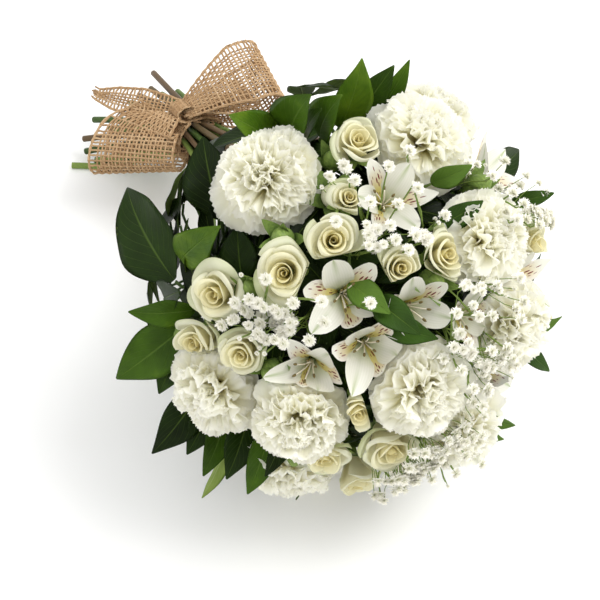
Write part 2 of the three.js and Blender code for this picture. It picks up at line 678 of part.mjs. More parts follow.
jute(() => {
  const rings = [[5, -9], [8, -5], [8.5, 0], [8, 5], [5, 9]].map(([r, z]) =>
    Array.from({ length: 8 }, (_, j) => {
      const t = (2 * Math.PI * j) / 8;
      return KNOT.clone().add(at(r * Math.cos(t) * 1.15, r * Math.sin(t) * 0.8, z));
    }),
  );
  return body(KNOT.clone().add(at(0, 0, -10)), rings, KNOT.clone().add(at(0, 0, 10)));
});
for (const [line, ways, widths] of [RIGHT_LOOP, LEFT_LOOP, LEFT_END, RIGHT_END])
  jute(() => strip(line, ways, widths, RIBBON_THICK));

// Blooms as nodes

for (const b of blooms.filter((b) => b.kind === "rose"))
  add(`rose_bloom_${number(b.index)}`, "#f0ead0", 0.6, (grow) =>
    layered(b, ROSE_ROWS, 10, 5, 0.03, 0.8, 0.05, grow),
  );
for (const b of blooms.filter((b) => b.kind === "carnation"))
  add(`carnation_bloom_${number(b.index)}`, "#f6f4ea", 0.7, (grow) =>
    layered(b, CARNATION_ROWS, 14, 5, 0.07, 2.2, 0.05, grow),
  );

// Assembly: a piece gives way to the ones before it, by a small gap

const root = new THREE.Group();
root.name = "bunch_of_carnations";
const SHARED = 1e-3; // cubic millimetres that two pieces may share before one gives way
const FINE = 0.05; // detail lost by simplifying a stem with what grows on it
const COARSE = 0.25; // and a bloom
const largest = (solid) => solid.decompose().sort((p, q) => q.volume() - p.volume())[0];
const done = [];
const touches = (p, q) =>
  [0, 1, 2].every((k) => p.min[k] < q.max[k] + GAP && q.min[k] < p.max[k] + GAP);
for (const [name, node] of nodes) {
  let solid = Manifold.union(node.parts.map((draw) => draw(0)));
  for (const other of done) {
    if (!touches(solid.boundingBox(), other.box)) continue;
    for (const fat of other.fat) {
      if (!touches(solid.boundingBox(), fat.box)) continue;
      if (solid.intersect(fat.solid).volume() > SHARED) solid = solid.subtract(fat.solid);
    }
  }
  if (solid.boundingBox().min[2] < 0) solid = solid.trimByPlane([0, 0, 1], 0);
  solid = largest(solid.simplify(node.parts.length > 1 ? FINE : COARSE));
  for (const other of done)
    if (touches(solid.boundingBox(), other.box) && solid.intersect(other.solid).volume() > SHARED) {
      for (const fat of other.fat) solid = solid.subtract(fat.solid);
      solid = largest(solid.subtract(other.solid));
    }
  const fat = node.parts.map((draw) => {
    const grown = draw(GAP);
    return { solid: grown, box: grown.boundingBox() };
  });
  done.push({ solid, fat, box: solid.boundingBox() });

  const mesh = solid.getMesh();
  const geometry = new THREE.BufferGeometry();
  geometry.setAttribute("position", new THREE.BufferAttribute(mesh.vertProperties, 3));
  geometry.setIndex(new THREE.BufferAttribute(mesh.triVerts, 1));
  const material = new THREE.MeshStandardMaterial({
    color: node.colour,
    roughness: node.roughness,
    metalness: 0,
  });
  const object = new THREE.Mesh(geometry, material);
  object.name = name;
  root.add(object);
}

export default root;
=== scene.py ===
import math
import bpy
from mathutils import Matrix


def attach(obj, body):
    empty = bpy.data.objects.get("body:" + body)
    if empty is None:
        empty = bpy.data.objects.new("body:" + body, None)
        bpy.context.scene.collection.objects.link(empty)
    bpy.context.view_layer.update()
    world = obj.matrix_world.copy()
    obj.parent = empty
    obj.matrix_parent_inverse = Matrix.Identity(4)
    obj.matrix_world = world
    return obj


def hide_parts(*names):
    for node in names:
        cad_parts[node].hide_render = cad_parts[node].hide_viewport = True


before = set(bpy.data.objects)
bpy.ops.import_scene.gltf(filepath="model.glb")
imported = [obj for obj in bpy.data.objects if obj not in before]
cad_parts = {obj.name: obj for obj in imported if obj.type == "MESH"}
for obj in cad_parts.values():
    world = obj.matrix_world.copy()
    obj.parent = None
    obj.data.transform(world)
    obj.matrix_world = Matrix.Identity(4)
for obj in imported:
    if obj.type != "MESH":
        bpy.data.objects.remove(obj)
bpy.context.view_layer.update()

# A hand-tied bunch of white carnations with cream spray roses, alstroemerias, gypsophila and
# leaves, lying on its side and tied with a jute ribbon. Shapes are worked out in millimetres in
# the bunch's own frame: u across, w up out of the lying side, a along the stems from the binding
# towards the heads. A place on the domed head is two angles in degrees, [around the axis, off the
# axis], seen from the middle of the dome. The last step turns millimetres there into metres here.
from types import SimpleNamespace

import bpy
import numpy as np
from mathutils import Vector

# Sizes that place the bunch, as in the solids
LIFT = math.radians(20)  # slope of the bunch's axis above the table
HEAD_BACK = 250  # binding to the middle of the dome
HEAD_DROP = 13  # the dome hangs this much below the stems' axis
HEAD_HEIGHT = 133  # middle of the dome above the table
BINDING_X = -141  # where the middle of the binding stands on the table
BINDING_Y = 3.5
BINDING_HEIGHT = HEAD_HEIGHT - HEAD_BACK * math.sin(LIFT) + HEAD_DROP * math.cos(LIFT)
GAP = 0.35  # clear space between two neighbouring pieces
SEAM = 1.0  # half the space left between two blooms
SINK = 1.5  # a bloom's wall at the table lies this far under it, and the table cuts the bloom flat
LEAF_LIFT = 0.8  # lowest a leaf's middle may lie
STEM_PITCH = 5.7  # centre to centre in the tied bundle
TAIL_END = -100  # the next numbers are reached here
TAIL_SPREAD = (15, 13)  # centre to centre, across and up
TAIL_SHIFT = (-44, -14)  # the tails lean sideways and down
TAIL_CROSS = 16  # and the lower rows lean further sideways, as in a bunch tied in a spiral
NECK_END = 32  # the bundle is regular up to here
NECK_PITCH = 7.2
TAIL_LENGTH = (58, 102)  # shortest and longest stem end beyond the binding
STEM_FLOOR = 2.2  # lowest a stem's middle may lie
FACING = 0.78  # share of the off-axis angle that a bloom leans by
FREE_SHARE = 0.78  # share of a bloom that its neighbours leave in shape
CALYX = 27  # from a carnation's petals down to where its stem ends

# [around, off, share of full size]
CARNATIONS = [
    [114, 77, 1.0], [65, 70, 1.0], [44, 96, 0.95], [45, 39, 1.0], [183, 68, 1.0], [190, 42, 1.0],
    [200, 7, 1.05], [227, 68, 1.0], [1, 29, 1.0], [284, 30, 1.0], [253, 90, 1.0], [290, 90, 1.02],
]
# [around, off, share of full size, spray]
ROSES = [
    [149, 68, 1.05, 0], [166, 72, 1.0, 0], [163, 56, 0.9, 0], [132, 53, 1.05, 0],
    [113, 49, 1.05, 1], [100, 56, 0.72, 1], [87, 71, 0.9, 1], [72, 33, 0.95, 1], [97, 33, 0.85, 1],
    [190, 25, 0.9, 2], [213, 42, 1.0, 2], [231, 27, 1.1, 2], [246, 58, 0.95, 2], [272, 62, 1.0, 2],
    [19, 50, 1.0, 3], [337, 60, 1.0, 3],
]
ALSTROEMERIAS = [
    [126, 36, 1.0, 0], [147, 22, 1.0, 0], [168, 37, 0.95, 0],
    [86, 52, 0.9, 1], [98, 20, 0.9, 1],
    [28, 78, 1.0, 2],
    [8, 42, 0.95, 3], [38, 17, 0.8, 3], [3, 72, 1.0, 3],
    [262, 43, 0.95, 4], [315, 56, 1.0, 4],
]
# [around, off, spread in degrees, clusters of florets]
GYPSOPHILA = [[145, 47, 13, 8], [92, 50, 15, 7], [38, 50, 12, 6], [50, 12, 13, 7], [263, 33, 14, 7]]
# [base around, off, radius, tip around, off, radius, width]
SPRIG_LEAVES = [
    [
        [157, 92, 122, 142, 117, 158, 43], [150, 92, 122, 132, 74, 138, 24],
        [134, 94, 106, 118, 104, 142, 32], [147, 70, 104, 131, 80, 112, 24],
        [162, 82, 116, 163, 88, 156, 18],
    ],
    [
        [103, 96, 112, 111, 91, 156, 26], [99, 94, 112, 95, 79, 160, 32],
        [96, 90, 112, 93, 79, 147, 20], [91, 88, 112, 89, 76, 158, 25],
    ],
    [[82, 92, 112, 80, 84, 165, 24], [75, 96, 112, 69, 88, 154, 20], [66, 99, 112, 64, 90, 157, 14]],
    [
        [171, 92, 108, 186, 98, 164, 32], [176, 96, 106, 190, 90, 144, 24],
        [196, 92, 110, 201, 87, 170, 27], [201, 90, 108, 206, 84, 154, 22],
        [206, 86, 108, 211, 80, 158, 21], [211, 90, 110, 212, 77, 170, 25],
        [205, 74, 106, 211, 72, 152, 22], [208, 64, 108, 216, 68, 154, 19],
        [205, 56, 108, 207, 56, 148, 15], [241, 84, 112, 238, 76, 150, 14],
    ],
    [
        [312, 86, 110, 312, 97, 158, 27], [333, 84, 112, 345, 92, 160, 28],
        [18, 92, 112, 13, 98, 160, 27], [273, 90, 110, 270, 103, 142, 22],
        [325, 92, 110, 306, 106, 148, 24], [350, 92, 112, 357, 104, 156, 22],
    ],
]
ROSE_LEAVES = [
    [],
    [
        [116, 30, 118, 110, 17, 142, 18], [124, 24, 112, 92, 12, 134, 16],
        [119, 38, 112, 116, 25, 134, 17], [69, 42, 122, 57, 46, 143, 14],
        [68, 55, 122, 61, 54, 148, 14],
    ],
    [[296, 34, 118, 306, 38, 146, 14], [290, 44, 118, 299, 47, 146, 14]],
    [[343, 34, 122, 330, 43, 146, 11], [350, 34, 122, 358, 38, 150, 10], [24, 66, 122, 20, 66, 150, 11]],
]
# How light the green of each of those leaves is, from dark to yellow-green
SPRIG_TONES = [
    [0.34, 0.7, 0.2, 0.3, 0.6], [0.68, 0.62, 0.45, 0.65], [0.72, 0.45, 0.6],
    [0.6, 0.4, 0.22, 0.3, 0.55, 0.7, 0.35, 0.6, 0.25, 0.5], [0.35, 0.5, 0.3, 0.6, 0.4, 0.45],
]
# Unopened buds between the blooms: [around, off, radius, length, share of petal showing, spray]
BUDS = [
    [102, 61, 128, 22, 0.6, 1], [124, 60, 132, 20, 0.1, 0], [173, 88, 124, 22, 0.2, 0],
    [143, 60, 130, 17, 0.1, 0], [95, 72, 126, 17, 0.1, 1], [217, 56, 130, 21, 0.2, 2],
    [76, 26, 128, 22, 0.2, 1], [47, 57, 134, 22, 0.1, 3], [170, 48, 131, 20, 0.3, 0],
]

# Places in the bunch's frame


def unit(v):
    return v / np.maximum(np.linalg.norm(v, axis=-1, keepdims=True), 1e-12)


def at(u, w, a):
    return np.array([u, w, a], float)


def length_of(v):
    return float(np.linalg.norm(v))


UP = at(0, math.cos(LIFT), math.sin(LIFT))
HEAD = at(0, -HEAD_DROP, HEAD_BACK)
AXES = np.array([[0, 1, 0], [-math.sin(LIFT), 0, math.cos(LIFT)], [math.cos(LIFT), 0, math.sin(LIFT)]])
BINDING = np.array([BINDING_X, BINDING_Y, BINDING_HEIGHT])


def height(p):
    return BINDING_HEIGHT + p @ UP


def to_metres(points):
    """Millimetres in the bunch's frame to metres in the row's, with nothing below the table."""
    world = (points @ AXES + BINDING) / 1000
    world[:, 2] = np.maximum(world[:, 2], 0)
    return world


def direction(around, off):
    around = np.radians(around)
    off = np.radians(off)
    return np.stack([np.sin(off) * np.cos(around), np.sin(off) * np.sin(around), np.cos(off)], -1)


def on_dome(around, off, radius):
    return HEAD + direction(around, off) * radius


def scatter(seed, i):
    """An even scatter between 0 and 1: the fraction of a large multiple of a sine."""
    v = np.sin(seed * 12.9898 + np.asarray(i) * 78.233) * 43758.5453
    return v - np.floor(v)


def between(low, high, share):
    return low + (high - low) * share


def across(axis, spin):
    """Two directions square to an axis, turned by spin."""
    helper = at(0, 0, 1) if abs(axis[2]) < 0.9 else at(1, 0, 0)
    e = unit(np.cross(helper, axis))
    f = np.cross(axis, e)
    return e * math.cos(spin) + f * math.sin(spin), f * math.cos(spin) - e * math.sin(spin)


# Blooms and the room that each has between its neighbours

# [kind, its rows, distance of its middle from the middle of the dome, radius, half its height]
BLOOM_KINDS = [
    ["carnation", CARNATIONS, 126, 36, 19], ["rose", ROSES, 126, 19, 14],
    ["alstroemeria", ALSTROEMERIAS, 124, 30, 28],
]
BLOOMS_APART = 20  # two blooms with more than this between them leave each other in shape
LEAST_ROOM = 4  # a wall stands no nearer than this to a bloom's middle

blooms = [
    SimpleNamespace(
        kind=kind, index=index, size=size, axis=direction(around, off * FACING),
        centre=on_dome(around, off, reach), radius=radius * size, half=half * size,
    )
    for kind, rows, reach, radius, half in BLOOM_KINDS
    for index, (around, off, size, *_) in enumerate(rows)
]


def add_walls(b):
    """Puts a wall between a bloom and each neighbour, on the plane from which the tangents to both
    are equally long, and one just under the table."""
    ways = [-UP]
    fars = [height(b.centre) + SINK]
    for other in blooms:
        way = other.centre - b.centre
        span = length_of(way)
        if other is b or span > b.radius + other.radius + BLOOMS_APART:
            continue
        far = (span * span + b.radius ** 2 - other.radius ** 2) / (2 * span) - SEAM
        ways.append(way / span)
        fars.append(max(far, LEAST_ROOM))
    b.ways = np.array(ways)
    b.fars = np.array(fars)


def press(bloom, points):
    """Draws points in towards the bloom's middle where they would pass a wall: past a share of the
    way to the wall, the rest of the way is taken by an exponential that never reaches it."""
    v = points - bloom.centre
    length = np.maximum(np.linalg.norm(v, axis=-1), 1e-6)
    toward = (v @ bloom.ways.T) / length[..., None]
    reach = np.where(toward > 1e-6, bloom.fars / np.maximum(toward, 1e-6), 1e6).min(-1)
    x = length / reach
    rest = 1 - FREE_SHARE
    share = FREE_SHARE + rest * (1 - np.exp(-np.maximum(x - FREE_SHARE, 0) / rest))
    pressed = bloom.centre + v * (reach * share / length)[..., None]
    return np.where((x <= FREE_SHARE)[..., None], points, pressed)


NEAR_BLOOM = 30  # a bloom further away than this isn't measured
OPEN_ROOM = 99.0  # and stands for this much room


def free(points, own=None):
    """How far outside the nearest bloom points lie; a bloom counts as a pressed, flattened ball."""
    room = np.full(points.shape[:-1], OPEN_ROOM)
    for b in blooms:
        if b is own:
            continue
        v = points - b.centre
        length = np.maximum(np.linalg.norm(v, axis=-1), 1e-6)
        near = length <= b.radius + NEAR_BLOOM
        if not near.any():
            continue
        v = v[near]
        length = length[near]
        rise = (v @ b.axis) / length
        ball = 1 / np.hypot(rise / b.half, np.sqrt(np.maximum(1 - rise * rise, 0)) / b.radius)
        skin = np.linalg.norm(press(b, b.centre + v * (ball / length)[:, None]) - b.centre, axis=-1)
        room[near] = np.minimum(room[near], length - skin)
    return room


for b in blooms:
    add_walls(b)
    b.base = press(b, b.centre - b.axis * b.half)
carnations = [b for b in blooms if b.kind == "carnation"]
roses = [b for b in blooms if b.kind == "rose"]
alstroemerias = [b for b in blooms if b.kind == "alstroemeria"]

# Stems: a honeycomb of sites in the binding, one for each stem

sites = [(i + j / 2, j * math.sqrt(3) / 2) for i in range(-4, 5) for j in range(-4, 5)]
sites.sort(key=lambda p: (round(math.hypot(*p) * 1e6), p[0], p[1]))
SITE_REACH = 34  # a head this far to the side would have the next site
ROSE_SPRAYS = len(ROSE_LEAVES)
ALSTROEMERIA_SPRAYS = 1 + ALSTROEMERIAS[-1][3]
# [radius that others keep clear of, radius at the cut end, radius at the head]
CARNATION_STEM = [2.5, 2.6, 2.4]
ROSE_STEM = [2.5, 2.7, 2.0]
ALSTROEMERIA_STEM = [2.3, 2.6, 1.9]
SPRIG_STEM = [2.4, 2.6, 1.8]
GYPSOPHILA_STEM = [2.1, 2.3, 1.4]
# Where the stems branch: distance from the middle of the dome
ROSE_HUB = 66
ALSTROEMERIA_HUB = 62
SPRIG_HUB = 92
SPRIG_HUB_BACK = 22  # and back towards the binding
GYPSOPHILA_HUB = 84


def mean_way(rows):
    return unit(sum(direction(around, off) for around, off, *_ in rows))


mains = []


def add_main(owner, target, way, radii):
    mains.append(SimpleNamespace(
        owner=owner, number=len(mains), target=target, way=way, branches=0,
        radius=radii[0], cut_radius=radii[1], head_radius=radii[2],
    ))


for b in carnations:
    add_main(f"carnation_{b.index}", b.base - b.axis * CALYX, b.axis, CARNATION_STEM)
for s in range(ROSE_SPRAYS):
    hub = HEAD + mean_way([r for r in ROSES if r[3] == s]) * ROSE_HUB
    add_main(f"rose_{s}", hub, unit(hub), ROSE_STEM)
for s in range(ALSTROEMERIA_SPRAYS):
    hub = HEAD + mean_way([r for r in ALSTROEMERIAS if r[3] == s]) * ALSTROEMERIA_HUB
    add_main(f"alstroemeria_{s}", hub, unit(hub), ALSTROEMERIA_STEM)
for s, leaves in enumerate(SPRIG_LEAVES):
    hub = HEAD + mean_way(leaves) * SPRIG_HUB - at(0, 0, SPRIG_HUB_BACK)
    add_main(f"sprig_{s}", hub, unit(hub), SPRIG_STEM)
for s, (around, off, *_) in enumerate(GYPSOPHILA):
    hub = on_dome(around, off, GYPSOPHILA_HUB)
    add_main(f"gypsophila_{s}", hub, unit(hub), GYPSOPHILA_STEM)

# Every stem takes the site that lies towards its own head: swaps go on while they shorten the sum.
taken = list(range(len(mains)))


def site_cost(m, s):
    target = mains[m].target
    return (target[0] / SITE_REACH - sites[s][0]) ** 2 + (target[1] / SITE_REACH - sites[s][1]) ** 2


moved = True
while moved:
    moved = False
    for i in range(len(taken)):
        for j in range(i + 1, len(taken)):
            now = site_cost(i, taken[i]) + site_cost(j, taken[j])
            if now > site_cost(i, taken[j]) + site_cost(j, taken[i]) + 1e-9:
                taken[i], taken[j] = taken[j], taken[i]
                moved = True


def site_point(site, a):
    """Where a site lies at a distance along the axis: the pitch opens towards both ends."""
    x, y = site
    if a >= 0:
        pitch = between(STEM_PITCH, NECK_PITCH, (a / NECK_END) ** 1.5)
        return at(x * pitch, y * pitch, a)
    share = (a / TAIL_END) ** 1.4
    lean = (a / TAIL_END) ** 1.6
    p = at(
        x * between(STEM_PITCH, TAIL_SPREAD[0], share) + (TAIL_SHIFT[0] + TAIL_CROSS * y) * lean,
        y * between(STEM_PITCH, TAIL_SPREAD[1], share) + TAIL_SHIFT[1] * lean,
        a,
    )
    return p + UP * max(STEM_FLOOR - height(p), 0)


filled = []  # round samples of what is already placed: point, radius, owner


def fill(line, radii, owner):
    for i in range(len(line) - 1):
        for k in range(4):
            p = between(line[i], line[i + 1], k / 4)
            filled.append((p, between(radii[i], radii[i + 1], k / 4), owner))


# How far a curve's two middle controls may be moved sideways
BENDS = np.array([(0.0, 0.0)] + [
    (size * math.cos(k * math.pi / 4), size * math.sin(k * math.pi / 4))
    for size in (6, 12, 20, 30) for k in range(8)
])
ENOUGH = 1.2  # more clear space than this earns nothing
PETAL_SHARE = 0.3  # space to petals counts for this share of it, since petals give way
BEND_COST = 0.012  # what a millimetre of bend takes off
CONTROL_SHARE = 0.36  # the controls stand this share of the way in from the ends


def bezier(controls, t):
    """Points of a cubic Bezier curve with controls (..., 4, 3) at shares t of its parameter."""
    t = np.asarray(t, float)[:, None]
    p = controls[..., None, :, :]
    return (
        p[..., 0, :] * (1 - t) ** 3 + p[..., 1, :] * 3 * t * (1 - t) ** 2
        + p[..., 2, :] * 3 * t * t * (1 - t) + p[..., 3, :] * t ** 3
    )


def route(start, start_way, end, end_way, radius, owner, own, steps):
    """The cubic curve between two points, out of one for each bend, that keeps furthest from what
    is already placed; its controls and its points at even steps."""
    span = length_of(end - start)
    e, f = across(unit(end - start), 0)
    side = BENDS[:, :1] * e + BENDS[:, 1:] * f
    controls = np.empty((len(BENDS), 4, 3))
    controls[:, 0] = start
    controls[:, 1] = start + start_way * span * CONTROL_SHARE + side
    controls[:, 2] = end - end_way * span * CONTROL_SHARE + side
    controls[:, 3] = end
    lines = bezier(controls, np.linspace(0, 1, steps + 1))
    share = (np.arange(3) / 3)[None, None, :, None]
    samples = lines[:, :-1, None] * (1 - share) + lines[:, 1:, None] * share
    samples = samples.reshape(len(BENDS), -1, 3)[:, 1:]
    clear = np.minimum(ENOUGH, ((free(samples, own) - radius) * PETAL_SHARE).min(-1))
    middle = (start + end) / 2
    others = [(p, r) for p, r, o in filled if o != owner and length_of(p - middle) < span * 0.5 + 40]
    if others:
        points = np.array([p for p, _ in others])
        radii = np.array([r for _, r in others])
        apart = np.linalg.norm(samples[:, :, None] - points, axis=-1) - radii - radius
        clear = np.minimum(clear, apart.min((1, 2)))
    score = clear - BEND_COST * np.hypot(BENDS[:, 0], BENDS[:, 1])
    best = 0
    for i in range(1, len(score)):
        if score[i] > score[best] + 1e-9:
            best = i
    return controls[best], lines[best]


for i, m in enumerate(mains):
    m.site = sites[taken[i]]
    m.end = between(-TAIL_LENGTH[0], -TAIL_LENGTH[1], scatter(3, i))
    m.tail = np.array([site_point(m.site, a) for a in (m.end, m.end * 0.5, 0, NECK_END)])
    fill(m.tail, [m.radius] * 4, m.owner)
stems = {}
for m in mains:
    own = next((b for b in carnations if m.owner == f"carnation_{b.index}"), None)
    way = unit(m.tail[3] - m.tail[2])
    m.controls, m.line = route(m.tail[3], way, m.target, m.way, m.radius, m.owner, own, 4)
    fill(m.line, [m.radius] * 5, m.owner)
    if own:
        fill([m.target, own.base], [6.5, 6.5], m.owner)
    m.branch_way = unit(m.line[-1] - m.line[-2])
    fine_tail = [site_point(m.site, a) for a in np.linspace(m.end, NECK_END, 15)]
    m.fine = np.concatenate([fine_tail, bezier(m.controls, np.linspace(0, 1, 19)[1:])])
    stems[m.owner] = m


def branch_start(m):
    """Branches leave the last length of their stem one after another."""
    m.branches += 1
    return between(m.line[-1], m.line[-2], 0.06 + 0.7 * ((m.branches * 0.618) % 1))


def branch_route(m, end, end_way, radii, own):
    controls, line = route(branch_start(m), m.branch_way, end, end_way, radii[0], m.owner, own, 2)
    fill(line, [between(*radii, i / 2) for i in range(3)], m.owner)
    return controls


LEAF_STALK = 1.2  # its radius
LEAF_ARCH = 0.16  # height of a blade's arch as a share of its length


def leaf_route(m, row):
    """A leaf's stalk and the middle line of its blade, which arches outwards."""
    around, off, radius, tip_around, tip_off, tip_radius, width = row
    base = on_dome(around, off, radius)
    tip = on_dome(tip_around, tip_off, tip_radius)
    straight = unit(tip - base)
    out = unit((base + tip) / 2 - HEAD) + at(0, 0, 0.9)
    out = out - straight * (out @ straight)
    out = across(straight, 0)[0] if length_of(out) < 0.35 else unit(out)
    bow = (base + tip) / 2 + out * LEAF_ARCH * length_of(tip - base)
    controls = branch_route(m, base, unit(bow - base), (LEAF_STALK, LEAF_STALK), None)
    return SimpleNamespace(stalk=controls, base=base, bow=bow, tip=tip, out=out, width=width)


def middle_line(leaf):
    """The controls of a blade's middle line: a parabola from base to tip, towards its bow."""
    inner = between(leaf.base, leaf.bow, 2 / 3)
    return np.array([leaf.base, inner, between(leaf.tip, leaf.bow, 2 / 3), leaf.tip])


BRANCH = 1.3  # its radius


for b in roses:
    b.spray = ROSES[b.index][3]
for b in alstroemerias:
    b.spray = ALSTROEMERIAS[b.index][3]
rose_leaves = []
for s, rows in enumerate(ROSE_LEAVES):
    m = stems[f"rose_{s}"]
    for b in roses:
        if b.spray == s:
            b.branch = branch_route(m, b.base - b.axis * 9, b.axis, (BRANCH, BRANCH), b)
    rose_leaves.append([leaf_route(m, row) for row in rows])
for s in range(ALSTROEMERIA_SPRAYS):
    m = stems[f"alstroemeria_{s}"]
    for b in alstroemerias:
        if b.spray == s:
            b.branch = branch_route(m, b.base + b.axis * 2, b.axis, (BRANCH, BRANCH), b)
sprig_leaves = [
    [leaf_route(stems[f"sprig_{s}"], row) for row in rows] for s, rows in enumerate(SPRIG_LEAVES)
]

FLORET = 4.4  # radius of the floret in the middle of a cluster


def over_petals(ways, low=130, high=150):
    """The first step outwards along each direction at which a floret clears the blooms."""
    steps = np.arange(low, high + 1)
    points = HEAD + ways[:, None] * steps[None, :, None]
    clear = free(points) > FLORET + 1
    clear[:, -1] = True
    return points[np.arange(len(ways)), clear.argmax(1)]


clusters = []
for s, (around, off, spread, count) in enumerate(GYPSOPHILA):
    m = stems[f"gypsophila_{s}"]
    middle = direction(around, off)
    e, f = across(middle, 0)
    k = np.arange(count)
    wide = np.tan(np.radians(spread * np.sqrt((k + 0.6) / count)))[:, None]
    t = np.radians(k * 137.5 + 40 * scatter(s + 11, k))[:, None]
    ways = unit(middle + e * wide * np.cos(t) + f * wide * np.sin(t))
    for way, centre in zip(ways, over_petals(ways)):
        controls = branch_route(m, centre - way * 6, way, (0.9, 0.8), None)
        clusters.append(SimpleNamespace(spray=s, way=way, centre=centre, branch=controls))

# Surfaces


class Surface:
    """Grids of points gathered for one mesh. Each point has a UV and a look of three numbers:
    depth or share along, tone, and kind."""

    def __init__(self):
        self.points, self.uv, self.look = [], [], []
        self.quads, self.tris = [], []
        self.quad_finish, self.tri_finish = [], []
        self.count = 0

    def add(self, points, look, uv=None, quads=None, tris=None, finish=0):
        n = len(points)
        self.points.append(points)
        self.look.append(np.broadcast_to(look, (n, 3)))
        self.uv.append(np.zeros((n, 2)) if uv is None else uv)
        lists = ((quads, self.quads, self.quad_finish), (tris, self.tris, self.tri_finish))
        for faces, kept, finishes in lists:
            if faces is not None:
                kept.append(faces + self.count)
                finishes.append(np.full(len(faces), finish))
        self.count += n

    def grid(self, points, look, uv=None, finish=0, ring=False, ends=False):
        """Sheets of rows by columns, any number at once. ring joins the last column to the first,
        and ends closes the first and last row with a fan."""
        rows, columns = points.shape[-3:-1]
        sheets = points.reshape(-1, rows, columns, 3)
        count = len(sheets)
        ids = np.arange(count * rows * columns).reshape(count, rows, columns)
        wide = np.concatenate([ids, ids[:, :, :1]], 2) if ring else ids
        quads = np.stack([wide[:, :-1, :-1], wide[:, :-1, 1:], wide[:, 1:, 1:], wide[:, 1:, :-1]], -1)
        look = np.broadcast_to(look, points.shape[:-1] + (3,)).reshape(-1, 3)
        flat = sheets.reshape(-1, 3)
        tris = None
        if uv is not None:
            uv = np.broadcast_to(uv, points.shape[:-1] + (2,)).reshape(-1, 2)
        if ends:
            poles = np.concatenate([sheets[:, 0].mean(1), sheets[:, -1].mean(1)])
            first = ids.size + np.arange(count)[:, None] + np.zeros((count, columns), int)
            fan_in = np.stack([first, wide[:, 0, 1:], wide[:, 0, :-1]], -1)
            fan_out = np.stack([first + count, wide[:, -1, :-1], wide[:, -1, 1:]], -1)
            tris = np.concatenate([fan_in.reshape(-1, 3), fan_out.reshape(-1, 3)])
            flat = np.concatenate([flat, poles])
            pole_look = look.reshape(count, rows, columns, 3)
            look = np.concatenate([look, pole_look[:, 0, 0], pole_look[:, -1, 0]])
            if uv is not None:
                pole_uv = uv.reshape(count, rows, columns, 2)
                uv = np.concatenate([uv, pole_uv[:, 0, 0], pole_uv[:, -1, 0]])
        self.add(flat, look, uv, quads.reshape(-1, 4), tris, finish)

    def rods(self, lines, radii, sides, look, finish=0, ends=True):
        """Round rods along lines (rods, points, 3): a circle carried along each, its first
        direction kept as near as it can be to one side that is square to the whole rod."""
        way = unit(np.gradient(lines, axis=-2))
        helper = unit(lines[..., -1, :] - lines[..., 0, :])
        tilt = np.where(np.abs(helper[..., 2:]) < 0.8, at(0, 0, 1), at(1, 0, 0))
        side = np.cross(tilt, helper)[..., None, :]
        side = unit(side - way * (side * way).sum(-1, keepdims=True))
        other = np.cross(way, side)
        t = np.linspace(0, 2 * np.pi, sides, endpoint=False)[:, None]
        ring = side[..., None, :] * np.cos(t) + other[..., None, :] * np.sin(t)
        radii = np.broadcast_to(radii, lines.shape[:-1])
        points = lines[..., None, :] + ring * radii[..., None, None]
        look = np.broadcast_to(look, lines.shape)[..., None, :]
        self.grid(points, look, finish=finish, ring=True, ends=ends)

    def piece(self, name, finishes, slot, *nodes):
        """Turns what is gathered into an object that rides on the bunch and replaces nodes."""
        mesh = bpy.data.meshes.new(name)
        points = to_metres(np.concatenate(self.points))
        sizes = [4] * len(self.quads) + [3] * len(self.tris)
        faces = self.quads + self.tris
        totals = np.concatenate([np.full(len(f), k) for f, k in zip(faces, sizes)])
        corners = np.concatenate([f.ravel() for f in faces])
        mesh.vertices.add(len(points))
        mesh.vertices.foreach_set("co", points.ravel().astype(np.float32))
        mesh.loops.add(len(corners))
        mesh.loops.foreach_set("vertex_index", corners.astype(np.int32))
        mesh.polygons.add(len(totals))
        mesh.polygons.foreach_set("loop_start", (np.cumsum(totals) - totals).astype(np.int32))
        finish = np.concatenate(self.quad_finish + self.tri_finish).astype(np.int32)
        mesh.polygons.foreach_set("material_index", finish)
        mesh.polygons.foreach_set("use_smooth", np.ones(len(totals), bool))
        mesh.update(calc_edges=True)
        uv = mesh.uv_layers.new(name="surface")
        uv.data.foreach_set("uv", np.concatenate(self.uv)[corners].ravel().astype(np.float32))
        look = mesh.attributes.new("look", "FLOAT_VECTOR", "POINT")
        look.data.foreach_set("vector", np.concatenate(self.look).ravel().astype(np.float32))
        mesh.validate()
        for finish in finishes:
            mesh.materials.append(finish)
        piece = bpy.data.objects.new(name, mesh)
        bpy.context.scene.collection.objects.link(piece)
        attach(piece, "root")
        if nodes:
            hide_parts(*nodes)
        return piece


def looks(depth, tone, kind):
    """Three shares as one look for each point, spread to the same shape."""
    depth, tone, kind = np.broadcast_arrays(depth, tone, kind)
    return np.stack([depth, tone, kind], -1)


# Materials


def linear(colour):
    """An sRGB hex colour as linear red, green, blue and 1."""
    values = [int(colour[i:i + 2], 16) / 255 for i in (1, 3, 5)]
    return [v / 12.92 if v <= 0.04045 else ((v + 0.055) / 1.055) ** 2.4 for v in values] + [1]


def node(tree, kind, inputs=(), output=0, stops=(), **settings):
    """Adds a shader node with its own settings and, on a colour ramp, [place, hex colour] stops.
    Its inputs, by number or by name, get a value or a link. Returns one of its outputs."""
    added = tree.nodes.new("ShaderNode" + kind)
    for key, value in settings.items():
        setattr(added, key, value)
    for _ in stops[2:]:
        added.color_ramp.elements.new(0.5)
    if stops:
        for element, (place, colour) in zip(added.color_ramp.elements, stops):
            element.position = place
            element.color = linear(colour)
    for key, value in inputs.items() if isinstance(inputs, dict) else enumerate(inputs):
        if isinstance(value, bpy.types.NodeSocket):
            tree.links.new(value, added.inputs[key])
        else:
            added.inputs[key].default_value = value
    return added.outputs[output] if len(added.outputs) else None


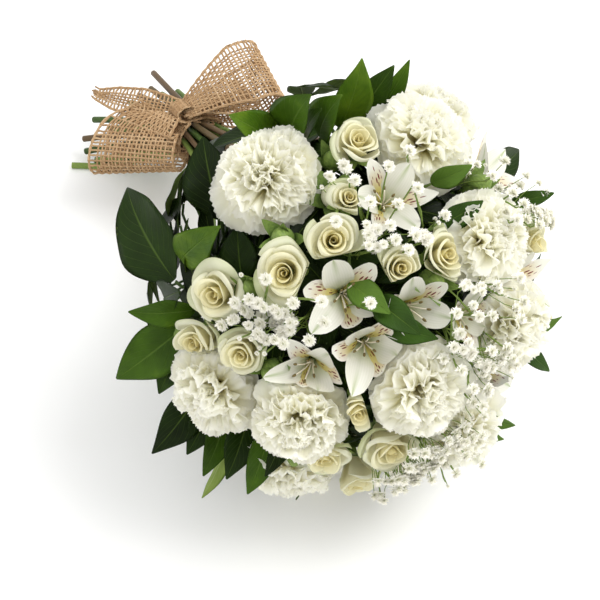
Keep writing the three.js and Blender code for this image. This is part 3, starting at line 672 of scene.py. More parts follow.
def new_material(name):
    material = bpy.data.materials.new(name)
    material.use_nodes = True
    material.node_tree.nodes.clear()
    return material, material.node_tree


def look_of(tree):
    """The depth, tone and kind that a piece's points carry."""
    carried = node(tree, "Attribute", output="Vector", attribute_name="look")
    return node(tree, "SeparateXYZ", [carried]).node.outputs


def surface_of(tree):
    """The piece's own UV, its share along and across, and how far off the middle line that is."""
    uv = node(tree, "UVMap", uv_map="surface")
    along, side, _ = node(tree, "SeparateXYZ", [uv]).node.outputs
    off_middle = node(tree, "Math", [side, 0.5], operation="SUBTRACT")
    return uv, along, side, node(tree, "Math", [off_middle], operation="ABSOLUTE")


def grain(tree, size, detail, place=None):
    """Uneven growth: noise on Object coordinates with cells of a size in millimetres. Petal cells
    and single fibres are too fine to show, so they are drawn about a millimetre wide."""
    place = place or node(tree, "TexCoord", output="Object")
    return node(tree, "TexNoise", {"Vector": place, "Scale": 1000 / size, "Detail": detail})


def varied(tree, place, pattern, amount):
    """A place on a ramp, moved to and fro by a pattern about its middle."""
    swing = node(tree, "Math", [pattern, 0.5], operation="SUBTRACT")
    return node(tree, "Math", [swing, amount, place], operation="MULTIPLY_ADD")


def tinted(tree, colour, tint, *shares):
    """Lays a tint over a colour by the product of some shares."""
    share = shares[0]
    for further in shares[1:]:
        share = node(tree, "Math", [share, further], operation="MULTIPLY")
    return node(tree, "Mix", {0: share, 6: colour, 7: linear(tint)}, 2, data_type="RGBA")


def thin_finish(tree, colour, roughness, relief, relief_height, through, ior=1.4, glare=0.5):
    """A thin natural surface: a plain dielectric with a relief in millimetres, which lets a share
    of the light pass through."""
    normal = node(tree, "Bump", {"Height": relief, "Distance": relief_height / 1000, "Strength": 1})
    front = node(tree, "BsdfPrincipled", {
        "Base Color": colour, "Roughness": roughness, "IOR": ior, "Specular IOR Level": glare,
        "Normal": normal,
    })
    behind = node(tree, "BsdfTranslucent", {"Color": colour})
    both = node(tree, "MixShader", [through, front, behind])
    node(tree, "OutputMaterial", [both])


def petal_material(name, stops, roughness, cell, through):
    """Fresh petals: soft cells, white at the edge and cream where they lie deep, partly their own colour and
    partly painted shade.
    """
    material, tree = new_material(name)
    depth, tone, _ = look_of(tree)
    place = varied(tree, depth, grain(tree, 6.25, 2), 0.12)
    colour = node(tree, "ValToRGB", [place], stops=stops)
    shade = node(tree, "Math", [tone, 0.05, 0.95], operation="MULTIPLY_ADD", use_clamp=True)
    grey = node(tree, "CombineColor", [shade, shade, shade])
    colour = node(tree, "Mix", {0: 1.0, 6: colour, 7: grey}, 2, data_type="RGBA", blend_type="MULTIPLY")
    thin_finish(tree, colour, roughness, grain(tree, cell, 3), 0.15, through)
    return material


# Carnation petals, thin and matt: bright white frills; the cream towards the heart and in the folds is partly
# the petals' own colour and partly painted shade.
CARNATION_PETAL = petal_material(
    "carnation_petal_matt_white",
    [[0.0, "#e7dba2"], [0.4, "#f5f0cc"], [0.6, "#fbf8e2"], [0.8, "#fdfcee"], [1.0, "#fffef7"]],
    0.6, 1.11, 0.6,
)
# Rose petals, a little silky: green-white guard petals outside; the warmer, darker cream of the inner petals
# is partly their own colour and partly painted shade.
ROSE_PETAL = petal_material(
    "rose_petal_silky_cream",
    [[0.0, "#e9dfa8"], [0.3, "#efe7b8"], [0.55, "#f2eecd"], [0.8, "#f2f1da"], [1.0, "#dbe2ae"]],
    0.45, 1.43, 0.42,
)
# Gypsophila florets, papery: dull white at the tips; the grey-green towards each floret's middle is partly
# its pale green foot and partly painted shade.
GYPSOPHILA_PETAL = petal_material(
    "gypsophila_floret_papery_white",
    [[0.0, "#b9c28e"], [0.35, "#e9e9d4"], [0.7, "#f9f7ec"], [1.0, "#fffdf6"]], 0.6, 0.67, 0.22,
)

TEPAL_VEINS = 12  # fine lines along a tepal, side by side on its 20 mm
DASHES = (7, 11)  # how many dark dashes fit along its 40 mm and across


def tepal_material():
    """Alstroemeria tepals: glistening white, green at the outer tips and along the middle; the inner
    ones have a yellow throat crossed by dark red-brown dashes that lie along the tepal."""
    material, tree = new_material("alstroemeria_tepal_glistening_white")
    kind = look_of(tree)[2]
    outer = node(tree, "Math", [kind, 0.5], operation="LESS_THAN")
    inner = node(tree, "Math", [kind, 0.5], operation="GREATER_THAN")
    uv, along, side, off_middle = surface_of(tree)
    colour = node(tree, "ValToRGB", [along], stops=[
        [0.0, "#93a457"], [0.3, "#dfe3c2"], [0.5, "#efede0"], [1.0, "#f3f1e8"],
    ])
    turns = node(tree, "Math", [side, math.tau * TEPAL_VEINS], operation="MULTIPLY")
    lines = node(tree, "Math", [turns], operation="SINE")
    veins = node(tree, "Math", [lines, 0.07, 0.08], operation="MULTIPLY_ADD", use_clamp=True)
    colour = tinted(tree, colour, "#c9cfae", veins)
    stripe = node(tree, "MapRange", [off_middle, 0.14, 0.0])
    tip = node(tree, "MapRange", [along, 0.55, 1.0, 0.1, 0.95])
    colour = tinted(tree, colour, "#8fa64c", stripe, tip, outer)
    near = node(tree, "MapRange", [along, 0.8, 0.45])
    flank = node(tree, "MapRange", [off_middle, 0.42, 0.22])
    colour = tinted(tree, colour, "#e2cf62", near, flank, inner, 0.8)
    wider = node(tree, "MapRange", [near, 0.0, 0.5])
    rim = node(tree, "Math", [wider, near], operation="SUBTRACT")
    colour = tinted(tree, colour, "#dba0a2", rim, inner, 0.3)
    cells = node(tree, "Mapping", {"Vector": uv, "Scale": (*DASHES, 1)})
    dots = node(tree, "TexVoronoi", {"Vector": cells, "Scale": 1, "Randomness": 0.7}, "Distance")
    dash = node(tree, "MapRange", [dots, 0.4, 0.34])
    zone = node(tree, "MapRange", [along, 0.86, 0.8])
    colour = tinted(tree, colour, "#7a2227", dash, inner, zone, flank)
    thin_finish(tree, colour, 0.35, grain(tree, 1.11, 3), 0.12, 0.3)
    return material


TEPAL = tepal_material()


def stem_material(name, roughness):
    """Stems and sepals: the kind picks the stem's own green or brown, its fibres run along it, and
    the cut end is paler."""
    material, tree = new_material(name)
    depth, _, kind = look_of(tree)
    along_stems = node(tree, "Mapping", {
        "Vector": node(tree, "TexCoord", output="Object"), "Rotation": (0, -LIFT, 0),
        "Scale": (0.15, 1, 1),
    })
    fibre = grain(tree, 1.11, 3, along_stems)
    colour = node(tree, "ValToRGB", [varied(tree, kind, fibre, 0.35)], stops=[
        [0.0, "#28381c"], [0.3, "#4c6530"], [0.55, "#83994c"], [0.75, "#5a5236"], [1.0, "#66503a"],
    ])
    cut = node(tree, "MapRange", [depth, 0.02, 0.0, 0.0, 0.75])
    colour = tinted(tree, colour, "#c9cf9a", cut)
    thin_finish(tree, colour, roughness, fibre, 0.2, 0.04, glare=0.3)
    return material


# Carnation stems and calyxes, with a waxy grey bloom: no highlight stands out.
CARNATION_GREEN = stem_material("carnation_stem_waxy_green", 0.5)
# The other stems, smooth: a soft highlight runs along them.
FLOWER_GREEN = stem_material("flower_stem_smooth_green", 0.42)

LEAF_VEINS = 9  # side veins on each half of a leaf
VEIN_SLANT = 7  # a line straight across the leaf would meet this many


def leaf_material(name, top, under, roughness):
    """Broad leaves: waxy and glossy on top with sunk veins, dull and paler beneath."""
    material, tree = new_material(name)
    below, tone, _ = look_of(tree)
    _, along, _, off_middle = surface_of(tree)
    start = node(tree, "Math", [along, LEAF_VEINS], operation="MULTIPLY")
    slant = node(tree, "Math", [off_middle, -VEIN_SLANT, start], operation="MULTIPLY_ADD")
    turns = node(tree, "Math", [slant, math.pi], operation="MULTIPLY")
    sine = node(tree, "Math", [turns], operation="SINE")
    wave = node(tree, "Math", [sine], operation="ABSOLUTE")
    side_vein = node(tree, "MapRange", [wave, 0.16, 0.0, 0.0, 0.6])
    rib = node(tree, "MapRange", [off_middle, 0.026, 0.008])
    vein = node(tree, "Math", [side_vein, rib], operation="MAXIMUM")
    place = varied(tree, tone, grain(tree, 16.7, 3), 0.4)
    face = tinted(tree, node(tree, "ValToRGB", [place], stops=top), "#86a548", vein, 0.2)
    back = tinted(tree, node(tree, "ValToRGB", [place], stops=under), "#c3d396", vein, 0.4)
    colour = node(tree, "Mix", {0: below, 6: face, 7: back}, 2, data_type="RGBA")
    rough = node(tree, "Math", [below, 0.25, roughness], operation="MULTIPLY_ADD", use_clamp=True)
    skin = node(tree, "Math", [grain(tree, 2, 2), 0.3], operation="MULTIPLY")
    relief = node(tree, "Math", [skin, vein], operation="SUBTRACT")
    thin_finish(tree, colour, rough, relief, 0.3, 0.14, glare=0.18)
    return material


# Broad evergreen leaves: dark, waxy top and a pale, dull underside.
LEAF = leaf_material(
    "broad_leaf_waxy_dark_green",
    [[0.1, "#101c04"], [0.4, "#22370a"], [0.65, "#436214"], [0.95, "#7f9c2b"]],
    [[0.1, "#4e6230"], [0.6, "#7f9646"], [1.0, "#a6b765"]], 0.42,
)
# The roses' own leaves: thinner, softer and a lighter green.
LIGHT_LEAF = leaf_material(
    "flower_leaf_soft_green",
    [[0.1, "#1c2f10"], [0.5, "#3c5a1c"], [1.0, "#71923a"]],
    [[0.1, "#5c7a42"], [1.0, "#9db573"]], 0.42,
)


def jute_material():
    """Jute yarn: dry, hairy tan bast fibre, each thread of a tone of its own and duller in patches.
    A fibre is too fine to show, so it is drawn 0.385 mm wide, about a quarter of a thread."""
    material, tree = new_material("jute_yarn_dry_tan")
    tone = look_of(tree)[1]
    fibre = grain(tree, 0.385, 4)
    place = node(tree, "Math", [tone, 0.3], operation="MULTIPLY")
    place = node(tree, "Math", [fibre, 0.55, place], operation="MULTIPLY_ADD")
    place = node(tree, "Math", [grain(tree, 11, 2), 0.2, place], operation="MULTIPLY_ADD")
    colour = node(tree, "ValToRGB", [place], stops=[
        [0.15, "#8c6a48"], [0.45, "#b8946b"], [0.7, "#d2b28a"], [1.0, "#e8d0ab"],
    ])
    thin_finish(tree, colour, 0.9, fibre, 0.4, 0.1, 1.5)
    return material


JUTE = jute_material()


def stamen_material():
    """Stamens: thin white-pink filaments with dry ochre anthers."""
    material, tree = new_material("alstroemeria_stamen_pale")
    colour = node(tree, "ValToRGB", [look_of(tree)[2]], stops=[
        [0.0, "#f0ead8"], [0.45, "#e8d8c0"], [0.55, "#8a7a4a"], [1.0, "#75663c"],
    ])
    thin_finish(tree, colour, 0.6, grain(tree, 0.556, 2), 0.1, 0.1)
    return material


STAMEN = stamen_material()

# Carnations

ROW_SHARES = np.array([0.12, 0.32, 0.48, 0.6, 0.7, 0.78, 0.85, 0.91, 0.96, 1.0])
FAN_COLUMNS = 33
TOOTH = 0.5  # mean height of the teeth on a petal's edge
WIDEST = math.radians(91)  # no petal leans further than this off the axis
# Whorls from the outside in: [lean off the axis in degrees, petals, reach, half spread, ruffle]
CARNATION_WHORLS = [
    [88, 5, 36, 46, 1.2], [80, 6, 37.5, 42, 1.9], [70, 7, 38.5, 36, 2.5], [57, 8, 38, 31, 2.9],
    [45, 9, 37, 26, 2.9], [33, 9, 35.5, 23, 2.8], [21, 9, 34, 21, 2.6], [8, 6, 32.5, 20, 2.4],
]


def chances(seed, lots, count):
    """Some lots of even scatter, each with a number for every petal of a bloom."""
    return [scatter(seed + s, np.arange(count))[:, None, None] for s in range(lots)]


def petal_ways(axis, spin, turn):
    """For petals at some turns round an axis: the way out from it and the way round it."""
    e, f = across(axis, spin)
    radial = e * np.cos(turn)[..., None] + f * np.sin(turn)[..., None]
    return radial, f * np.cos(turn)[..., None] - e * np.sin(turn)[..., None]


def carnation_petals(b):
    """Petals as fans. A fan leaves the foot of the bloom near its axis and leans over as a power of
    the way along it, and its tip bends in or out by a further power; sideways it opens by an angle.
    Three sines across it, growing towards the edge, ruffle it square to itself, and a zigzag tooths
    the last row. A cosine of the turn makes all petals lean a little to one side."""
    rows = np.array([
        [lean, 360 * (k + 0.37 * w) / count, reach, spread, ruffle]
        for w, (lean, count, reach, spread, ruffle) in enumerate(CARNATION_WHORLS) for k in range(count)
    ])
    n = len(rows)
    lean, turn, reach, spread, ruffle = (rows[:, i, None, None] for i in range(5))
    chance = chances(b.index * 17, 8, n)
    lean = np.radians(lean + 12 * (chance[0] - 0.5))
    turn = np.radians(turn + 26 * (chance[1] - 0.5))
    lean = lean + 0.26 * (1 - lean / 1.6) * np.cos(turn - 6.28 * scatter(b.index, 3))
    reach = reach * b.size * (1 + (0.05 + 0.08 * lean) * (chance[2] - 0.75))
    spread = np.radians(spread * (1 + 0.3 * (chance[3] - 0.5)))
    s = ROW_SHARES[None, :, None]
    v = np.linspace(1, -1, FAN_COLUMNS)[None, None, :]
    # How far each point leans over and how far out it lies, with the teeth
    tip = np.maximum(s - 0.6, 0) / 0.4
    bend = (chance[7] - 0.5) * 0.6 * tip ** 1.5 * (1 - 0.5 * v * v)
    theta = np.minimum(lean * s ** 0.55 + bend, WIDEST)
    r = reach * s * (1 - 0.17 * v * v * s * s)
    zigzag = np.where(np.arange(FAN_COLUMNS) % 2, 1.0, -1.0)
    uneven = 0.5 + scatter(b.index + 41, np.arange(n * FAN_COLUMNS)).reshape(n, 1, FAN_COLUMNS)
    r = r + TOOTH * zigzag * uneven * ((s > 0.99) + 0.25 * (np.abs(s - 0.96) < 0.01))
    fan = v * spread * (0.45 + 0.55 * s)
    # The ruffles
    rise = np.maximum(s - 0.3, 0) / 0.7
    first = np.sin(np.pi * (1.5 + 1.0 * chance[4]) * v + 6.28 * chance[5])
    second = np.sin(np.pi * (3.4 + 1.6 * chance[6]) * v + 6.28 * chance[7])
    third = np.sin(np.pi * 6.7 * v + 11 * chance[4])
    wave = 0.85 * first * rise ** 1.2 + 0.7 * second * rise ** 1.8 + 0.3 * third * rise ** 2.6
    radial, side = petal_ways(b.axis, b.index * 1.7, turn)
    out = b.axis * np.cos(theta)[..., None] + radial * np.sin(theta)[..., None]
    inner = b.axis * np.sin(theta)[..., None] - radial * np.cos(theta)[..., None]
    foot = b.centre + b.axis * (6 * b.size - b.half)
    points = (
        foot + out * (r * np.cos(fan))[..., None] + side * (r * np.sin(fan))[..., None]
        + inner * (ruffle * b.size * wave)[..., None]
    )
    # Depth grows from the foot to the edge, rises and falls with the ruffles, and is lower at the feet of the
    # inner whorls; the petal ramp draws lower depth as darker cream, partly the petals' own colour and partly
    # painted shade in the folds and the heart.
    depth = s ** 1.1 + 0.05 * wave * s - 0.1 * (1 - lean / 1.6) * (1 - s)
    return press(b, points), looks(depth, chance[2], 0.0)


def number(i):
    """An index as the solids' names count it: from 01."""
    return f"{i + 1:02d}"


for b in carnations:
    bloom = Surface()
    bloom.grid(*carnation_petals(b))
    bloom.piece(f"carnation_petals_{number(b.index)}", [CARNATION_PETAL], "carnation_petal",
                f"carnation_bloom_{number(b.index)}")

# How green or brown stems are, from dark green through bright green to woody brown
STEM_KINDS = (0.12, 0.5, 0.3, 0.85, 0.2, 0.4, 0.95)
STEM_SIDES = 10
JOINTS = (0.17, 0.3, 0.62)  # shares of a stem's length
JOINT_SWELLING = 0.22
JOINT_LENGTH = 0.018  # as a share of the stem's length
# The calyx under a carnation: [distance below the petals, radius]
CALYX_PROFILE = [[25, 3.0], [22, 4.6], [17, 5.9], [10.8, 6.6], [5, 6.9], [GAP, 7]]


def main_rod(surface, m, profile):
    """A stem from its cut end to its head: a flat cut face, an even taper with slight swellings at
    the joints, which Gaussian bumps make, and some further [point, radius] at its head."""
    share = np.linspace(0, 1, len(m.fine))
    radii = between(m.cut_radius, m.head_radius, share)
    for place in JOINTS:
        where = place + 0.06 * scatter(m.number + 7, place * 100)
        radii = radii * (1 + JOINT_SWELLING * np.exp(-((share - where) / JOINT_LENGTH) ** 2))
    cut = m.fine[0] + (m.fine[1] - m.fine[0]) * np.array([0.001, 0.002, 0.02])[:, None]
    line = np.concatenate([cut, m.fine[1:], [p for p, _ in profile]])
    face = m.cut_radius * np.array([0.7, 0.98, 1.0])
    radii = np.concatenate([face, radii[1:], [r for _, r in profile]])
    depth = np.concatenate([[0.0, 0.0], 0.03 + share, np.ones(len(profile))])
    kind = STEM_KINDS[int(len(STEM_KINDS) * scatter(29, m.number))]
    surface.rods(line, radii, STEM_SIDES, looks(depth, 0.5, kind))


for b in carnations:
    stem = Surface()
    main_rod(stem, stems[f"carnation_{b.index}"], [(b.base - b.axis * d, r) for d, r in CALYX_PROFILE])
    stem.piece(f"carnation_green_{number(b.index)}", [CARNATION_GREEN], "carnation_green",
               f"carnation_stem_{number(b.index)}")

# Roses

ROSE_PETALS = 14
ROSE_ROWS = np.array([0.05, 0.3, 0.5, 0.64, 0.74, 0.8, 0.86, 0.91, 0.955, 1.0])
ROLL_FROM = 0.74  # share of a petal's length at which its rim starts to roll


def rose_petals(b):
    """Petals on a cup. Each goes round the axis by an angle and up by a height; its distance from
    the axis grows as a power of the height up to its rim, which rolls outwards on a circle, wider in
    the outer petals. Petals follow one another by the golden angle, so that their rims read as a
    spiral. An opened bloom is wider and lower."""
    n = ROSE_PETALS
    i = np.arange(n)[:, None, None]
    t = i / (n - 1)
    chance = chances(b.index * 13, 5, n)
    opened = scatter(b.index, 5)
    turn = np.radians(i * 137.5 + 24 * (chance[0] - 0.5))
    # From the innermost petal to the outermost: distance of the rim, height, half spread and roll
    rim = np.interp(t, [0, 0.2, 0.45, 0.7, 1], [1.2, 3.5, 7.6, 12.0, 16.6]) * (1 + 0.1 * (chance[1] - 0.5))
    rim = rim * (0.9 + 0.14 * opened)
    tall = np.interp(t, [0, 0.3, 0.6, 0.85, 1], [23, 25, 24, 20.5, 17]) * (1 + 0.08 * (chance[2] - 0.5))
    tall = tall * (1.07 - 0.1 * opened)
    wide = np.radians(np.interp(t, [0, 0.3, 0.7, 1], [175, 112, 74, 62]))
    roll = np.interp(t, [0, 0.35, 0.7, 1], [0.4, 0.9, 1.7, 2.4]) * (0.6 + 0.8 * chance[3])
    s = ROSE_ROWS[None, :, None]
    v = np.linspace(-1, 1, 19)[None, None, :]
    body = np.minimum(s, ROLL_FROM) / ROLL_FROM
    curl = np.radians(60 + 110 * t) * np.maximum(s - ROLL_FROM, 0) / (1 - ROLL_FROM) * (1 - 0.45 * v * v)
    # Up the axis, with a peak in the middle of the rim and a slow wave along it
    peak = 1 - 0.2 * v * v + 0.07 * np.cos(4 * v + 6 * chance[4]) * (0.4 + t)
    z = tall * peak * body ** 0.85 + roll * (np.sin(curl) - 0.35 * curl)
    z = z + 1.5 * t * np.sin(1.6 * v + 6.3 * chance[3]) * s
    # Out from the axis; one edge of each petal lies over the next
    r = rim * (0.25 + 0.75 * body ** np.interp(t, [0, 1], [0.45, 1.25])) + roll * (1 - np.cos(curl))
    r = r + (0.4 + 0.7 * t) * v + (0.5 + 1.1 * t) * np.sin(2.4 * v + 6.3 * chance[1]) * s * s
    ring, _ = petal_ways(b.axis, b.index * 2.1, turn + v * wide)
    foot = b.centre - b.axis * b.half
    points = foot + b.axis * (z * b.size)[..., None] + ring * (np.maximum(r, 0.3) * b.size)[..., None]
    # Depth is lower for the inner petals and towards each petal's foot, with a random share; the petal ramp
    # draws lower depth as darker, warmer cream, partly the rose's own warm heart and partly painted shade in
    # the deep.
    depth = 0.15 + 0.5 * t + 0.3 * s * t + 0.12 * (s - 0.8) + 0.08 * (chance[0] - 0.5)
    return press(b, points), looks(depth, chance[2], 0.0)


for b in roses:
    bloom = Surface()
    bloom.grid(*rose_petals(b))
    bloom.piece(f"rose_petals_{number(b.index)}", [ROSE_PETAL], "rose_petal",
                f"rose_bloom_{number(b.index)}")

SEPALS = 5
SEPAL_FOOT = 2.2  # how far from the axis a sepal starts


def sepals(foot, axis, reach, lean, kind, width):
    """Pointed sepals round the foot of a bloom: narrow fans that lean out more towards the tip."""
    k = np.arange(SEPALS)[:, None, None]
    s = np.array([0.0, 0.25, 0.5, 0.75, 0.92, 1.0])[None, :, None]
    v = np.array([1.0, 0.0, -1.0])[None, None, :]
    theta = np.radians(lean) * (0.55 + 0.45 * s) + 0.25 * np.sin(k * 2.3)
    half = width * np.sin(np.pi * (0.25 + 0.75 * s)) ** 0.8
    radial, side = petal_ways(axis, 0.9, 2 * np.pi * k / SEPALS)
    out = axis * np.cos(theta)[..., None] + radial * np.sin(theta)[..., None]
    points = foot + radial * SEPAL_FOOT + out * (reach * s)[..., None] + side * (v * half)[..., None]
    return points - radial * (0.5 * np.abs(v))[..., None], looks(0.5, 0.5, kind + 0.15 * s)


TOP_COLUMNS = 11
UNDER_COLUMNS = 9
LEAF_THICKNESS = 0.6  # along the rib


def blade(surface, leaf, seed, tone, rows=22):
    """A leaf: a section with points over it and under it, carried along the arched middle line. Its
    half width is a sine of the way along, drawn in to a long point; the halves fold up along the
    rib, the blade twists a little and its edges wave."""
    t = np.linspace(0.015, 0.995, rows)
    line = bezier(middle_line(leaf), t)
    along = unit(np.gradient(line, axis=0))
    wide = unit(np.cross(leaf.out, along))
    face = unit(np.cross(along, wide))
    half = (leaf.width / 2) * np.sin(np.pi * t ** 0.85) ** 0.85 * (1 - 0.3 * t ** 4) * 1.03 + 0.3
    v = np.concatenate([np.linspace(1, -1, TOP_COLUMNS), np.linspace(-1, 1, UNDER_COLUMNS + 2)[1:-1]])
    under = np.arange(len(v)) >= TOP_COLUMNS
    thick = LEAF_THICKNESS / 2 * (1 - 0.7 * np.abs(v))
    wave = np.sin(2 * np.pi * (1.7 * t[:, None] + scatter(seed, 1)) + 1.4 * np.sign(v)) * 0.1
    twist = 0.22 * math.sin(6.28 * scatter(seed, 2)) * np.sin(np.pi * t[:, None]) * v
    curl = 0.24 * np.abs(v) ** 1.3 + wave * v * v + twist
    lift = half[:, None] * curl + np.where(under, -thick, thick)
    points = line[:, None] + wide[:, None] * (half[:, None] * v)[..., None] + face[:, None] * lift[..., None]
    low = LEAF_LIFT * np.where(under, 0.4, 1.4) - height(points)
    points = points + UP * np.maximum(low, 0)[..., None]
    uv = np.stack(np.broadcast_arrays(t[:, None], (v + 1) / 2), -1)
    surface.grid(points, looks(under.astype(float), tone, 0.0), uv, 1, ring=True, ends=True)


def stalk(surface, controls, radius, kind, steps=9, sides=6, profile=()):
    """A branch along its cubic curve, with any further [point, radius] of its own."""
    line = bezier(controls, np.linspace(0, 1, steps))
    line = np.concatenate([line] + [[p] for p, _ in profile])
    radii = np.concatenate([np.full(steps, radius, float), [r for _, r in profile]])
    surface.rods(line, radii, sides, looks(0.5, 0.5, kind))


def head_end(m, radius):
    """The blunt end of a stem where its branches leave."""
    return [(m.line[-1] + m.branch_way * 0.5, radius)]


def simple_branch(m, end, end_way, approach):
    """The controls of a cubic curve from the head of a stem straight to a point."""
    span = length_of(end - m.line[-1])
    start = m.line[-1]
    return np.array([start, start + m.branch_way * span * 0.3, end - end_way * span * approach, end])


# The cup under a rose: [distance below the petals, radius]
CUP_PROFILE = [[7, 1.8], [5, 4.0], [2, 4.6], [GAP, 4.4]]
BUD_OPEN = 0.5  # a bud that shows more petal than this is drawn in petal
BUD_WIDTH = 0.36  # half of it, as a share of its length


def bud(green, petals, m, row):
    """An unopened bud: an egg of sepals on a stalk, with some petal showing at its tip."""
    around, off, radius, length, showing, _ = row
    way = direction(around, off * 0.9)
    foot = on_dome(around, off, radius) - way * length
    stalk(green, simple_branch(m, foot, way, 0.4), 1.2, 0.35)
    s = np.linspace(0, 1, 9)
    egg = length * BUD_WIDTH * np.sin(np.pi * (0.1 + 0.84 * s)) ** 0.8
    line = foot + way * (length * s)[:, None]
    if showing > BUD_OPEN:
        petals.rods(line, egg * 0.9, 14, looks(0.6 + 0.3 * s, 0.5, 0.0))
    else:
        green.rods(line, egg, 14, looks(0.5, 0.5, 0.33 + 0.15 * s))
    lean = 48 if showing > BUD_OPEN else 30
    green.grid(*sepals(foot, way, length * 1.12, lean, 0.3, length * 0.24))


for s, leaves in enumerate(rose_leaves):
    m = stems[f"rose_{s}"]
    green = Surface()
    buds = Surface()
    bud_petals = Surface()
    main_rod(green, m, head_end(m, 1.2))
    for b in roses:
        if b.spray == s:
            stalk(green, b.branch, BRANCH, 0.4, profile=[(b.base - b.axis * d, r) for d, r in CUP_PROFILE])
            points, look = sepals(b.base - b.axis * 1.5, b.axis, 15 * b.size, 75, 0.4, 3.2)
            green.grid(press(b, points), look)
    for k, leaf in enumerate(leaves):
        stalk(green, leaf.stalk, 1.0, 0.4, profile=[(leaf.base, 0.9)])
        blade(green, leaf, 60 + 10 * s + k, between(0.3, 0.8, scatter(60 + s, k)))
    for row in BUDS:
        if row[5] == s:
            bud(buds, bud_petals, m, row)
    green.piece(f"rose_green_{s + 1}", [FLOWER_GREEN, LIGHT_LEAF], "rose_green", f"rose_spray_{s + 1}")
    if buds.count:
        buds.piece(f"rose_buds_{s + 1}", [FLOWER_GREEN], "rose_green")
    if bud_petals.count:
        bud_petals.piece(f"rose_bud_petals_{s + 1}", [ROSE_PETAL], "rose_petal")

# Alstroemerias


def tepals(b):
    """Six tepals. Each runs out from the foot as a power of the way along it and up as another, so
    that together they make a funnel; its half width is a sine, it is cupped across and its edges
    ripple. The outer three are broad with a pointed tip, the inner three narrower and steeper."""
    k = np.arange(6)[:, None, None]
    inner = (k % 2).astype(float)
    chance = chances(b.index * 19, 4, 6)
    turn = 2 * np.pi * k / 6 + 0.2 * (chance[0] - 0.5)
    s = np.linspace(0.03, 1, 16)[None, :, None]
    v = np.linspace(1, -1, 11)[None, None, :]
    span = 31 * (1 + 0.05 * (chance[1] - 0.5)) - 1.0 * inner
    r = 1.6 + span * s ** (1.75 - 0.15 * inner)
    z = (38 - 3 * inner) * s ** 0.82 - 2.5 * (1 - inner) * s ** 5
    profile = np.maximum(np.sin(np.pi * s ** np.where(inner > 0, 1.35, 1.2)), 0.03)
    half = np.where(inner > 0, 7.2, 9.8) * profile ** np.where(inner > 0, 0.8, 0.9) * v
    cup = (0.02 + 0.012 * inner) * half ** 2 * np.sin(np.pi * s)
    ripple = np.sin(7 * s + 6 * chance[2]) * v * v * s + 5 * (chance[0] - 0.5) * s ** 3
    radial, side = petal_ways(b.axis, b.index * 1.3, turn)
    foot = b.centre - b.axis * b.half
    points = (
        foot + b.axis * ((z + cup + ripple) * b.size)[..., None]
        + radial * ((r - 0.6 * cup) * b.size)[..., None] + side * (half * b.size)[..., None]
    )
    uv = np.stack(np.broadcast_arrays(s, (v + 1) / 2, 0.0 * k)[:2], -1)
    return press(b, points), looks(s, chance[3], inner + 0 * v), uv


STAMENS = 6  # and a style
FILAMENT = 0.45  # its radius
ANTHER = 0.85  # its radius
ANTHER_HALF = 1.8  # half its length


def stamens(surface, b):
    """Curved filaments from the throat: along the axis evenly and out from it as the square of the
    way along. Each but the style ends in an anther, a small ellipsoid."""
    e, f = across(b.axis, b.index * 1.3 + 0.4)
    k = np.arange(STAMENS + 1)[:, None]
    turn = 2 * np.pi * k / STAMENS
    s = np.linspace(0, 1, 9)[None, :]
    r = 1.0 + (5 + 3 * scatter(b.index + 3, k)) * s ** 2
    z = 8 + 15 * s + 2 * np.sin(k) * s
    lines = (
        b.centre - b.axis * b.half + b.axis * (z * b.size)[..., None]
        + e * (r * np.cos(turn) * b.size)[..., None]
        + f * ((r * np.sin(turn) + 3 * s ** 2) * b.size)[..., None]
    )
    lines = press(b, lines)
    surface.rods(lines, FILAMENT, 5, looks(0.5, 0.5, 0.1))
    ends = lines[:STAMENS]
    way = unit(ends[:, -1] - ends[:, -3])
    steps = np.linspace(-1, 1, 5)
    anthers = ends[:, -1:] + way[:, None] * steps[:, None] * ANTHER_HALF
    surface.rods(anthers, ANTHER * np.sqrt(1.05 - steps ** 2), 6, looks(0.5, 0.5, 1.0))


for s in range(ALSTROEMERIA_SPRAYS):
    m = stems[f"alstroemeria_{s}"]
    green = Surface()
    flowers = Surface()
    inside = Surface()
    main_rod(green, m, head_end(m, 1.2))
    for b in alstroemerias:
        if b.spray == s:
            stalk(green, b.branch, BRANCH, 0.45)
            flowers.grid(*tepals(b))
            stamens(inside, b)
    flowers.piece(f"alstroemeria_flowers_{s + 1}", [TEPAL], "alstroemeria_petal",
                  f"alstroemeria_spray_{s + 1}")
    green.piece(f"alstroemeria_stalks_{s + 1}", [FLOWER_GREEN], "rose_green")
    inside.piece(f"alstroemeria_stamens_{s + 1}", [STAMEN], "alstroemeria_petal")

# Leafy sprigs

FILL_COUNT = 300  # small leaves that fill the room beneath the blooms
FILL_SPAN = 1.4  # they go down to where the cosine of the angle off the axis is less by this
FILL_LOWEST = 14  # none of them starts nearer to the table than this
FILL_DEPTH = 100  # they start this far from the middle of the dome, and then move in or out
FILL_APART = 3  # from a large leaf
LARGE_NEAR = 65  # a large leaf's points further away than this don't count
RISES = np.arange(-18, 26)
DEEP_RISES = np.arange(-24, -12)
# Further ones, where the photograph shows leaves behind the blooms: [around, off]
FILL_PLACED = [
    [128, 76], [134, 85], [141, 80], [146, 72], [138, 93], [124, 88], [150, 86], [144, 98], [157, 78],
    [132, 70], [118, 80], [163, 88], [150, 66], [130, 98], [128, 106], [121, 100], [136, 102],
    [142, 106], [115, 96], [126, 94],
]


def blade_samples(leaf):
    """Points over a leaf's blade: its arched middle line and one on either side of it."""
    t = np.linspace(0.05, 0.95, 13)
    wide = unit(np.cross(leaf.out, leaf.tip - leaf.base)) * leaf.width * 0.36
    side = np.sin(np.pi * t)[:, None, None] * np.array([-1.0, 0.0, 1.0])[None, :, None]
    return (bezier(middle_line(leaf), t)[:, None] + wide * side).reshape(-1, 3)


